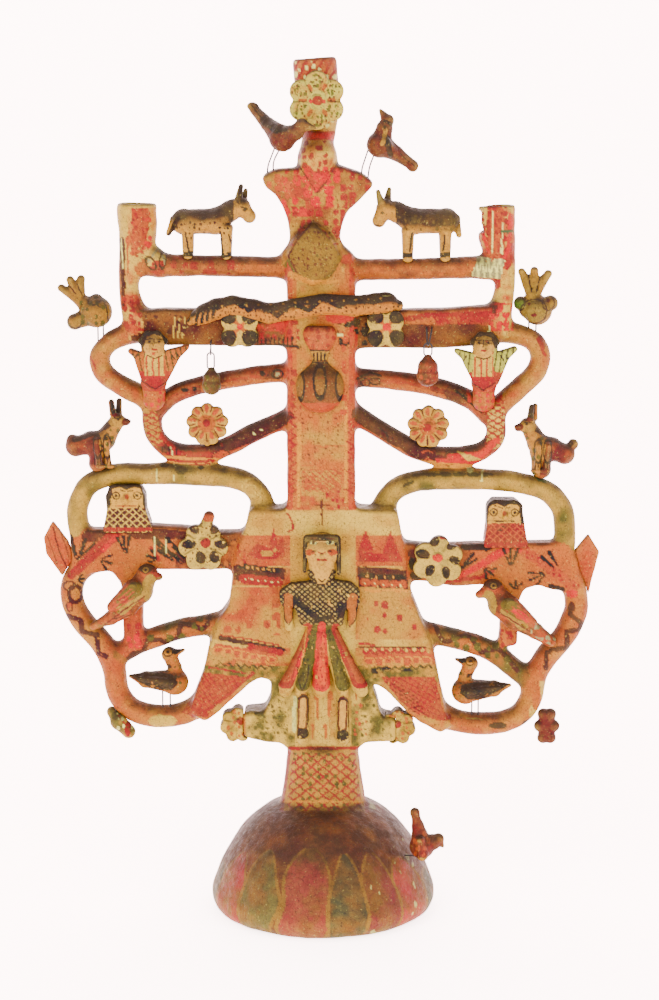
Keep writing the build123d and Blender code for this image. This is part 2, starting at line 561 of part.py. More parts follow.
# ---------------------------------------------------------------- hanging fruit
def wire_eye(hook, half_width, low):
    """An upright oval eye, hung on a hook's bend and reaching down to low."""
    top = hook.Z + 2 * WIRE_RADIUS + EYE_GAP
    corners = [(hook.X + sx * half_width, hook.Y, z) for sx, z in ((-1, top), (1, top), (1, low), (-1, low))]
    with BuildPart() as eye:
        with BuildLine() as route:
            FilletPolyline(*corners, radius=0.96 * half_width, close=True)
        with BuildSketch(Plane(origin=route.line @ 0, z_dir=route.line % 0)):
            Circle(WIRE_RADIUS)
        sweep(path=route.line)
    return eye.part


def fruit(x, y, z, radius, height):
    """An egg-shaped fruit, narrower at the top."""
    low, high = z - height / 2 + radius, z + height / 2 - 0.46 * radius
    return limb((x, y, low, radius), (x, y - 0.2, (low + high) / 2, 0.9 * radius), (x, y, high, 0.46 * radius))


pendants = {
    -1: (HOOK_LEFT, 2.9, 471.0, (-92.5, 461, 8.0, 23.5)),
    1: (HOOK_RIGHT, 3.3, 481.8, (87, 470, 9.5, 27)),
}
for side, (hook, half_width, low, body) in pendants.items():
    eye = wire_eye(hook, half_width, low)
    keep(eye, side_name("fruit", side) + "_eye")
    x, z, radius, height = body
    keep(fruit(x, hook.Y, z, radius, height), side_name("fruit", side))
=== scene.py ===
"""Clay tree of life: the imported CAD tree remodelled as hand-built, painted and worn clay.

Metres, +Z up, the front faces -Y. Clay pieces are modelled as distance fields on a voxel grid: the CAD solids
are pressed together with soft joins, details are added or dug out, and the result is meshed and painted.
"""
import json
from math import cos, radians, sin, tau

import bpy
import numpy as np
import openvdb
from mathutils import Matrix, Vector

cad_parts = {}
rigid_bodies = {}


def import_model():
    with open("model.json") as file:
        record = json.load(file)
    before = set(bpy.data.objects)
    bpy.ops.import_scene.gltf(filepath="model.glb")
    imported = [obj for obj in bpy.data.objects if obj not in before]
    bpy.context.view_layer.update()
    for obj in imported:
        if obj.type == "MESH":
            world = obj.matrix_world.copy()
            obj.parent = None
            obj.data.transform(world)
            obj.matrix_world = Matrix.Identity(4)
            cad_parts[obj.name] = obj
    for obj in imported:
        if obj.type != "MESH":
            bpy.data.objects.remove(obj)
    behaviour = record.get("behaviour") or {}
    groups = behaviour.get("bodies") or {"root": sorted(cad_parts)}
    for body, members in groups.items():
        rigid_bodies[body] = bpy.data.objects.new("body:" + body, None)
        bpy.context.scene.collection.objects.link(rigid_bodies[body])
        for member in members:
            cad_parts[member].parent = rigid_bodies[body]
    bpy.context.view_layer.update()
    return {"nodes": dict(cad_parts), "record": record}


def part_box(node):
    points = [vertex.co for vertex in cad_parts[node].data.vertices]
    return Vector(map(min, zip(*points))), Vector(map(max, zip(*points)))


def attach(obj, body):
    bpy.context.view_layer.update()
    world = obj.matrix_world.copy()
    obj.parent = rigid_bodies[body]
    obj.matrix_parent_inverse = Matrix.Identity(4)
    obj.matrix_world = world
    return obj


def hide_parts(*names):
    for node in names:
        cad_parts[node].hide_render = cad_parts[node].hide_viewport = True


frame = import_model()
MM = 0.001


# ------------------------------------------------------------------ colours
PAINT_SCALE, PAINT_DEPTH = np.array([0.33, 0.45, 0.17]), np.array([4.5, 4.6, 4.7])
DARKEST_PAINT = 0.0022
PAPER, PAPER_LIGHT = (0.973, 0.840, 0.823), (1.0, 0.807, 0.791)


def paint(red, green, blue):
    """A paint as linear RGB from display values 0-255, deepened for the film curve's soft contrast."""
    return np.maximum(PAINT_SCALE * (np.array([red, green, blue]) / 255.0) ** PAINT_DEPTH, DARKEST_PAINT)


TAN = paint(206, 168, 120)
CREAM = paint(222, 192, 148)
OCHRE = paint(206, 142, 66)
ORANGE = paint(205, 122, 52)
RED = paint(188, 66, 44)
ROSE = paint(200, 124, 86)
MAROON = paint(128, 52, 44)
PLUM = paint(112, 62, 58)
OLIVE = paint(140, 132, 76)
GREEN = paint(112, 112, 62)
SOOT = paint(48, 46, 46)
DUST = paint(112, 92, 76)
TERRACOTTA = paint(172, 92, 58)
RUST_RED = paint(160, 62, 48)
BROWN = paint(140, 88, 56)


# ------------------------------------------------------------------ modelling clay on a grid
class Clay:
    """A lump of clay held as distances, in millimetres, on a grid of voxels."""

    def __init__(self, low, high, voxel):
        self.voxel = voxel
        self.low = np.floor(np.array(low) / voxel).astype(int) - 4
        self.high = np.ceil(np.array(high) / voxel).astype(int) + 4
        self.band = 6 * voxel
        shape = self.high - self.low + 1
        self.d = np.full(shape, self.band, np.float32)
        self.who = np.zeros(shape, np.uint8)

    def _window(self, low, high):
        """The grid slices, and the broadcast coordinates, of a box in millimetres."""
        i0 = np.maximum(np.floor(np.array(low) / self.voxel).astype(int), self.low)
        i1 = np.minimum(np.ceil(np.array(high) / self.voxel).astype(int), self.high)
        cut = tuple(slice(a - l, b - l + 1) for a, b, l in zip(i0, i1, self.low))
        x, y, z = (np.arange(a, b + 1, dtype=np.float32) * self.voxel for a, b in zip(i0, i1))
        return cut, x[:, None, None], y[None, :, None], z[None, None, :], i0

    def _blend(self, cut, other, soft, tag):
        here = self.d[cut]
        if tag is not None:
            self.who[cut][other < here] = tag
        if soft > 0:
            h = np.clip(0.5 + 0.5 * (other - here) / soft, 0, 1)
            self.d[cut] = other + (here - other) * h - soft * h * (1 - h)
        else:
            self.d[cut] = np.minimum(here, other)

    def node(self, name, soft=0.0, tag=None):
        """Press in a CAD solid."""
        mesh = frame_mesh(name)
        grid = openvdb.FloatGrid.createLevelSetFromPolygons(
            mesh[0] / MM, triangles=mesh[1], transform=openvdb.createLinearTransform(self.voxel), halfWidth=6)
        low, high = (np.array(v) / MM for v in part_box(name))
        reach = self.band
        cut, x, y, z, corner = self._window(low - reach, high + reach)
        block = np.zeros(self.d[cut].shape, np.float32)
        grid.copyToArray(block, ijk=tuple(int(v) for v in corner))
        self._blend(cut, block, soft, tag)

    def stick(self, a, b, ra, rb=None, soft=1.0, tag=None, dig=False):
        """Press in, or dig out, a tapered rod with round ends."""
        rb = ra if rb is None else rb
        a, b = np.array(a, float), np.array(b, float)
        reach = max(ra, rb) + (1.5 if dig else self.band)
        cut, x, y, z, _ = self._window(np.minimum(a, b) - reach, np.maximum(a, b) + reach)
        way = b - a
        length2 = max(float(way @ way), 1e-9)
        t = np.clip(((x - a[0]) * way[0] + (y - a[1]) * way[1] + (z - a[2]) * way[2]) / length2, 0, 1)
        away = np.sqrt((x - a[0] - t * way[0]) ** 2 + (y - a[1] - t * way[1]) ** 2
                       + (z - a[2] - t * way[2]) ** 2)
        self._apply(cut, away - (ra + (rb - ra) * t), soft, tag, dig)

    def pat(self, at, radii, soft=1.0, tag=None, dig=False, tilt=0.0):
        """Press in, or dig out, an ellipsoid. tilt turns it in the X-Z plane, in degrees."""
        reach = max(radii) + (1.5 if dig else self.band)
        cut, x, y, z, _ = self._window(np.array(at) - reach, np.array(at) + reach)
        c, s = cos(radians(tilt)), sin(radians(tilt))
        u = (x - at[0]) * c + (z - at[2]) * s
        w = -(x - at[0]) * s + (z - at[2]) * c
        v = y - at[1]
        k0 = np.sqrt((u / radii[0]) ** 2 + (v / radii[1]) ** 2 + (w / radii[2]) ** 2)
        k1 = np.sqrt((u / radii[0] ** 2) ** 2 + (v / radii[1] ** 2) ** 2 + (w / radii[2] ** 2) ** 2)
        self._apply(cut, k0 * (k0 - 1) / np.maximum(k1, 1e-6), soft, tag, dig)

    def _apply(self, cut, other, soft, tag, dig):
        other = np.clip(other, -self.band, self.band).astype(np.float32)
        if dig:
            here = self.d[cut]
            h = np.clip(0.5 - 0.5 * (here + other) / max(soft, 1e-3), 0, 1)
            self.d[cut] = here + (-other - here) * h + soft * h * (1 - h)
        else:
            self._blend(cut, other, soft, tag)

    def smooth(self, times):
        """Thumb the clay smooth."""
        for _ in range(times):
            for axis in range(3):
                d = np.moveaxis(self.d, axis, 0)
                d[1:-1] = 0.25 * d[:-2] + 0.5 * d[1:-1] + 0.25 * d[2:]

    def mesh(self, name, colours, wobble, wobble_size):
        """The clay's surface as an object, painted by the tag of the piece nearest each point."""
        grid = openvdb.FloatGrid(self.band)
        grid.copyFromArray(np.clip(self.d, -self.band, self.band), ijk=tuple(int(v) for v in self.low),
                           tolerance=0)
        grid.transform = openvdb.createLinearTransform(self.voxel)
        points, quads = grid.convertToQuads(isovalue=0.0)
        index = np.clip(np.rint(points / self.voxel).astype(int) - self.low, 0, np.array(self.d.shape) - 1)
        tags = self.who[index[:, 0], index[:, 1], index[:, 2]]
        hollow = self._hollow(index)
        data = bpy.data.meshes.new(name)
        data.from_pydata((points * MM).tolist(), [], quads.tolist())
        piece = bpy.data.objects.new(name, data)
        bpy.context.collection.objects.link(piece)
        data.polygons.foreach_set("use_smooth", [True] * len(data.polygons))
        wavy(piece, wobble, wobble_size)
        colour_vertices(piece, tags, colours)
        # dirt and painted shade darken the hollows; edges are paler where rubbed
        grime_and_painted_shade(piece, hollow)
        return piece

    def _hollow(self, index):
        """How far each surface point lies below the surface blurred over some millimetres: the hollows, where
        dirt settles and where shade is painted.
        """
        coarse = self.d[::2, ::2, ::2].copy()
        for _ in range(max(3, int(7 / self.voxel))):
            for axis in range(3):
                d = np.moveaxis(coarse, axis, 0)
                d[1:-1] = 0.25 * d[:-2] + 0.5 * d[1:-1] + 0.25 * d[2:]
        at = np.minimum((index + 1) // 2, np.array(coarse.shape) - 1)
        level = self.d[tuple((2 * np.minimum(at, np.array(self.d.shape) // 2 - 1)).T)]
        return level - coarse[tuple(at.T)]


def grime_and_painted_shade(piece, hollow):
    """Brown dirt and painted shade in the hollows, and paler paint rubbed on the edges."""
    layer = piece.data.attributes["paint"]
    rgba = np.empty(len(hollow) * 4, np.float32)
    layer.data.foreach_get("color", rgba)
    rgba = rgba.reshape(-1, 4)
    points = vertex_array(piece) / MM
    patch = 0.75 + 0.5 * value_noise(points, 7, 301)
    # dirt and painted shade: the deeper a hollow, the browner it is painted, as shade falls there
    rgba[:, :3] = mix(rgba[:, :3], paint(74, 48, 34), np.clip(hollow * 0.42 * patch, 0, 0.85))
    rgba[:, :3] = mix(rgba[:, :3], paint(226, 200, 160), np.clip(-hollow * 0.16 * patch - 0.08, 0, 0.32))
    layer.data.foreach_set("color", rgba.ravel())


def frame_mesh(name):
    """A CAD node's points and triangles."""
    data = bpy.data.objects[name].data
    data.calc_loop_triangles()
    points = np.empty(len(data.vertices) * 3, np.float32)
    data.vertices.foreach_get("co", points)
    triangles = np.empty(len(data.loop_triangles) * 3, np.int32)
    data.loop_triangles.foreach_get("vertices", triangles)
    return points.reshape(-1, 3), triangles.reshape(-1, 3)


def value_noise(points, size, seed):
    """Smooth random values, about -1 to 1, over points in millimetres."""
    rng = np.random.default_rng(seed)
    table = rng.uniform(-1, 1, 4096).astype(np.float32)
    p = points / size
    base = np.floor(p).astype(np.int64)
    f = p - base
    f = f * f * (3 - 2 * f)
    total = np.zeros(len(points), np.float32)
    for corner in range(8):
        step = np.array([(corner >> k) & 1 for k in range(3)])
        cell = base + step
        key = cell[:, 0] * 73856093 + cell[:, 1] * 19349663 + cell[:, 2] * 83492791
        key = ((key ^ (key >> 13)) * 1540483477) & 0xFFFFFFFF
        key = (key ^ (key >> 15)) & 4095
        weight = np.prod(np.where(step == 1, f, 1 - f), axis=1)
        total += weight.astype(np.float32) * table[key]
    return total


def vertex_array(piece, what="co"):
    values = np.empty(len(piece.data.vertices) * 3, np.float32)
    piece.data.vertices.foreach_get(what, values)
    return values.reshape(-1, 3)


def wavy(piece, height, size):
    """The uneven surface that fingers leave: points move along their normals, by about height millimetres."""
    points = vertex_array(piece) / MM
    normals = vertex_array(piece, "normal")
    amount = value_noise(points, size, 5) + 0.5 * value_noise(points, size * 0.4, 6)
    points += normals * (amount * height * 0.66)[:, None]
    piece.data.vertices.foreach_set("co", (points * MM).astype(np.float32).ravel())
    piece.data.update()


def colour_vertices(piece, tags, colours):
    """Colour each point. colours maps a tag to a colour or to a function of (points, normals)."""
    points = vertex_array(piece) / MM
    normals = vertex_array(piece, "normal")
    result = np.tile(TAN, (len(points), 1))
    for tag, colour in colours.items():
        chosen = tags == tag
        if not chosen.any():
            continue
        result[chosen] = colour(points[chosen], normals[chosen]) if callable(colour) else colour
    rgba = np.ones((len(points), 4), np.float32)
    rgba[:, :3] = result
    layer = piece.data.attributes.new("paint", "FLOAT_COLOR", "POINT")
    layer.data.foreach_set("color", rgba.ravel())


def mix(a, b, share):
    share = np.clip(share, 0, 1)[:, None]
    return a * (1 - share) + b * share


def mottled(first, second, size=18.0, seed=1, bias=0.0):
    """Two paints worn into each other in patches."""
    def at(points, normals):
        patches = value_noise(points, size, seed) + 0.6 * value_noise(points, size * 0.35, seed + 1)
        return mix(first, second, 0.5 + 0.9 * patches + bias)
    return at


# ------------------------------------------------------------------ materials
def new_material(name):
    material = bpy.data.materials.new(name)
    material.use_nodes = True
    tree = material.node_tree
    shader = tree.nodes["Principled BSDF"]
    return material, tree, shader


def node(tree, kind, **settings):
    made = tree.nodes.new(kind)
    for key, value in settings.items():
        setattr(made, key, value)
    return made


def noise_at(tree, coords, scale, detail=4.0, rough=0.55):
    made = node(tree, "ShaderNodeTexNoise")
    made.inputs["Scale"].default_value = scale
    made.inputs["Detail"].default_value = detail
    made.inputs["Roughness"].default_value = rough
    tree.links.new(coords, made.inputs["Vector"])
    return made.outputs["Fac"]


def ramp(tree, value, low, high, to_low=0.0, to_high=1.0):
    made = node(tree, "ShaderNodeMapRange")
    made.inputs["From Min"].default_value = low
    made.inputs["From Max"].default_value = high
    made.inputs["To Min"].default_value = to_low
    made.inputs["To Max"].default_value = to_high
    tree.links.new(value, made.inputs["Value"])
    return made.outputs["Result"]


def blend_colour(tree, share, first, second):
    """first and second mixed by share. Each is a socket, or a colour's three values."""
    made = node(tree, "ShaderNodeMix", data_type="RGBA", blend_type="MIX")
    factor, a, b = made.inputs[0], made.inputs[6], made.inputs[7]
    for socket, value in ((factor, share), (a, first), (b, second)):
        if hasattr(value, "links"):
            tree.links.new(value, socket)
        else:
            socket.default_value = (*value, 1.0)
    return made.outputs[2]


def clay_material():
    """Paint over white ground over clay: chips, crackle, dirt and painted shade in the hollows, and dust on what
    faces up.
    """
    material, tree, shader = new_material("worn_painted_clay")
    position = node(tree, "ShaderNodeTexCoord").outputs["Object"]
    colour = node(tree, "ShaderNodeAttribute", attribute_name="paint").outputs["Color"]
    # the brush's uneven strength
    broad = noise_at(tree, position, 55.0, 3.0)
    colour = blend_colour(tree, ramp(tree, broad, 0.4, 0.75, 0.0, 0.12), colour, tuple(CREAM))
    colour = blend_colour(tree, ramp(tree, noise_at(tree, position, 130.0, 5.0), 0.45, 0.75, 0.0, 0.14),
                          colour,
                          tuple(TERRACOTTA))
    # chips down to the white ground, and dark specks of dirt
    chips = ramp(tree, noise_at(tree, position, 520.0, 6.0, 0.72), 0.60, 0.68, 0.0, 0.5)
    colour = blend_colour(tree, chips, colour, tuple(paint(232, 214, 186)))
    specks = ramp(tree, noise_at(tree, position, 560.0, 5.0, 0.7), 0.57, 0.66, 0.0, 0.8)
    colour = blend_colour(tree, specks, colour, tuple(paint(88, 58, 40)))
    # crackle
    cracks = node(tree, "ShaderNodeTexVoronoi", feature="DISTANCE_TO_EDGE")
    cracks.inputs["Scale"].default_value = 260.0
    tree.links.new(position, cracks.inputs["Vector"])
    crackle = ramp(tree, cracks.outputs["Distance"], 0.0, 0.05, 0.35, 0.0)
    colour = blend_colour(tree, crackle, colour, tuple(paint(96, 62, 40)))
    # soot and dust on top
    normal = node(tree, "ShaderNodeNewGeometry").outputs["Normal"]
    split = node(tree, "ShaderNodeSeparateXYZ")
    tree.links.new(normal, split.inputs[0])
    upward = ramp(tree, split.outputs["Z"], 0.1, 0.62, 0.0, 1.0)
    patchy = ramp(tree, noise_at(tree, position, 90.0, 4.0), 0.25, 0.6, 0.5, 1.0)
    both = node(tree, "ShaderNodeMath", operation="MULTIPLY")
    tree.links.new(upward, both.inputs[0])
    tree.links.new(patchy, both.inputs[1])
    colour = blend_colour(tree, ramp(tree, both.outputs[0], 0.0, 1.0, 0.0, 0.86), colour, tuple(DUST))
    tree.links.new(colour, shader.inputs["Base Color"])
    tree.links.new(ramp(tree, noise_at(tree, position, 180.0, 4.0), 0.3, 0.7, 0.42, 0.72),
                   shader.inputs["Roughness"])
    shader.inputs["Specular IOR Level"].default_value = 0.05
    height = node(tree, "ShaderNodeMath", operation="ADD")
    tree.links.new(noise_at(tree, position, 300.0, 8.0, 0.65), height.inputs[0])
    tree.links.new(ramp(tree, cracks.outputs["Distance"], 0.0, 0.06, -0.35, 0.0), height.inputs[1])
    bump = node(tree, "ShaderNodeBump")
    bump.inputs["Strength"].default_value = 0.55
    bump.inputs["Distance"].default_value = 0.0012
    tree.links.new(height.outputs[0], bump.inputs["Height"])
    tree.links.new(bump.outputs["Normal"], shader.inputs["Normal"])
    return material


def iron_material():
    material, tree, shader = new_material("dark_iron_wire")
    position = node(tree, "ShaderNodeTexCoord").outputs["Object"]
    rust = ramp(tree, noise_at(tree, position, 900.0, 5.0), 0.45, 0.65, 0.0, 0.8)
    tree.links.new(blend_colour(tree, rust, tuple(paint(46, 42, 40)), tuple(paint(92, 60, 44))),
                   shader.inputs["Base Color"])
    shader.inputs["Metallic"].default_value = 0.6
    tree.links.new(ramp(tree, noise_at(tree, position, 700.0), 0.3, 0.7, 0.45, 0.75),
                   shader.inputs["Roughness"])
    return material


CLAY = clay_material()
IRON = iron_material()


def finish_piece(piece, body, nodes):
    piece.data.materials.append(CLAY)
    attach(piece, body)
    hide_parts(*nodes)


def box_of(names):
    lows, highs = zip(*(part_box(name) for name in names))
    return np.min(np.array(lows), axis=0) / MM, np.max(np.array(highs), axis=0) / MM


# ------------------------------------------------------------------ brushwork
# Brush marks are given as (x, z) in millimetres, as seen from two metres in front on the plane y = 0.
EYE_X, EYE_Y, EYE_Z = 5.5, -2000.0, 709.8


def seen(points):
    """Where the eye in front sees each point against the plane y = 0."""
    reach = -EYE_Y / (points[:, 1] - EYE_Y)
    return EYE_X + (points[:, 0] - EYE_X) * reach, EYE_Z + (points[:, 2] - EYE_Z) * reach


def oval(cx, cz, rx, rz=None, tilt=0.0, rim=None):
    rz = rx if rz is None else rz
    c, s = cos(radians(tilt)), sin(radians(tilt))

    def inside(x, z):
        d = np.hypot(((x - cx) * c + (z - cz) * s) / rx, (-(x - cx) * s + (z - cz) * c) / rz)
        return d < 1 if rim is None else np.abs(d - 1) * min(rx, rz) < rim / 2
    return inside


def stroke(width, *points, end=None):
    """A brush line, narrowing to the width end."""
    def inside(x, z):
        hit = np.zeros(len(x), bool)
        last = len(points) - 1
        for k, ((x0, z0), (x1, z1)) in enumerate(zip(points, points[1:])):
            dx, dz = x1 - x0, z1 - z0
            t = np.clip(((x - x0) * dx + (z - z0) * dz) / max(dx * dx + dz * dz, 1e-6), 0, 1)
            wide = width if end is None else width + (end - width) * (k + t) / last
            hit |= np.hypot(x - x0 - t * dx, z - z0 - t * dz) < wide / 2
        return hit
    return inside


def area(*points):
    def inside(x, z):
        hit = np.zeros(len(x), bool)
        for (x0, z0), (x1, z1) in zip(points, points[1:] + points[:1]):
            if z0 == z1:
                continue
            cross = ((z0 > z) != (z1 > z)) & (x < (x1 - x0) * (z - z0) / (z1 - z0) + x0)
            hit ^= cross
        return hit
    return inside


def hatch(region, step, width, *tilts):
    """Straight lines across a region, step apart, at each tilt."""
    def inside(x, z):
        hit = np.zeros(len(x), bool)
        for tilt in tilts:
            along = -x * sin(radians(tilt)) + z * cos(radians(tilt))
            hit |= np.abs((along / step) % 1 - 0.5) * step < width / 2
        return hit & region(x, z)
    return inside


def dots(region, step, radius, seed=0):
    def inside(x, z):
        i, k = np.floor(x / step), np.floor(z / step)
        random = np.abs(np.sin(i * 12.9898 + k * 78.233 + seed * 37.719) * 43758.5453)
        ox, oz, size = random % 1, (random * 7.31) % 1, (random * 13.7) % 1
        spread = np.hypot((x / step - i - 0.2 - 0.6 * ox), 0.8 * (z / step - k - 0.2 - 0.6 * oz)) * step
        return (spread < radius * (0.4 + 0.9 * size)) & (size > 0.3) & region(x, z)
    return inside


def row(count, shape, x0, z0, x1, z1):
    """shape(x, z) repeated along a line."""
    shapes = [shape(x0 + (x1 - x0) * k / (count - 1), z0 + (z1 - z0) * k / (count - 1)) for k in range(count)]
    return many(*shapes)


def many(*shapes):
    def inside(x, z):
        hit = shapes[0](x, z)
        for shape in shapes[1:]:
            hit = hit | shape(x, z)
        return hit
    return inside


def fan(x, z, length, heading, count=3, spread=24, width=3.4):
    """Feather marks: dark petals spreading from a point."""
    marks = []
    for k in range(count):
        way = radians(heading + spread * (k - (count - 1) / 2))
        marks.append(stroke(width * 0.45, (x + 0.15 * length * cos(way), z + 0.15 * length * sin(way)),
                            (x + length * cos(way), z + length * sin(way)), end=width))
    return many(*marks)


def decorate(piece, marks, facing=0.3, wear=0.95):
    """Brush marks over the ground colours, on what faces front, a little shaky and worn through in places."""
    points = vertex_array(piece) / MM
    normals = vertex_array(piece, "normal")
    layer = piece.data.attributes["paint"]
    rgba = np.empty(len(points) * 4, np.float32)
    layer.data.foreach_get("color", rgba)
    rgba = rgba.reshape(-1, 4)
    x, z = seen(points)
    x = x + 0.45 * value_noise(points, 4.0, 201)
    z = z + 0.45 * value_noise(points, 4.0, 202)
    front = normals[:, 1] < facing
    strength = 0.92 + 0.16 * value_noise(points, 3.0, 203)
    worn = value_noise(points, 5.0, 204) + 0.7 * value_noise(points, 1.8, 205) > wear
    for tone, shape in marks:
        touched = shape(x, z) & front & ~worn
        rgba[touched, :3] = (np.asarray(tone)[None, :] * strength[touched, None])
    layer.data.foreach_set("color", rgba.ravel())


WHITE = paint(236, 222, 202)
LILAC = paint(190, 178, 178)
YELLOW = paint(224, 172, 78)
BRIGHT = paint(218, 74, 44)
PINK = paint(206, 128, 108)
GREY = paint(104, 88, 78)
SKIN = paint(222, 182, 142)
ANY = area((-400, -400), (400, -400), (400, 900), (-400, 900))

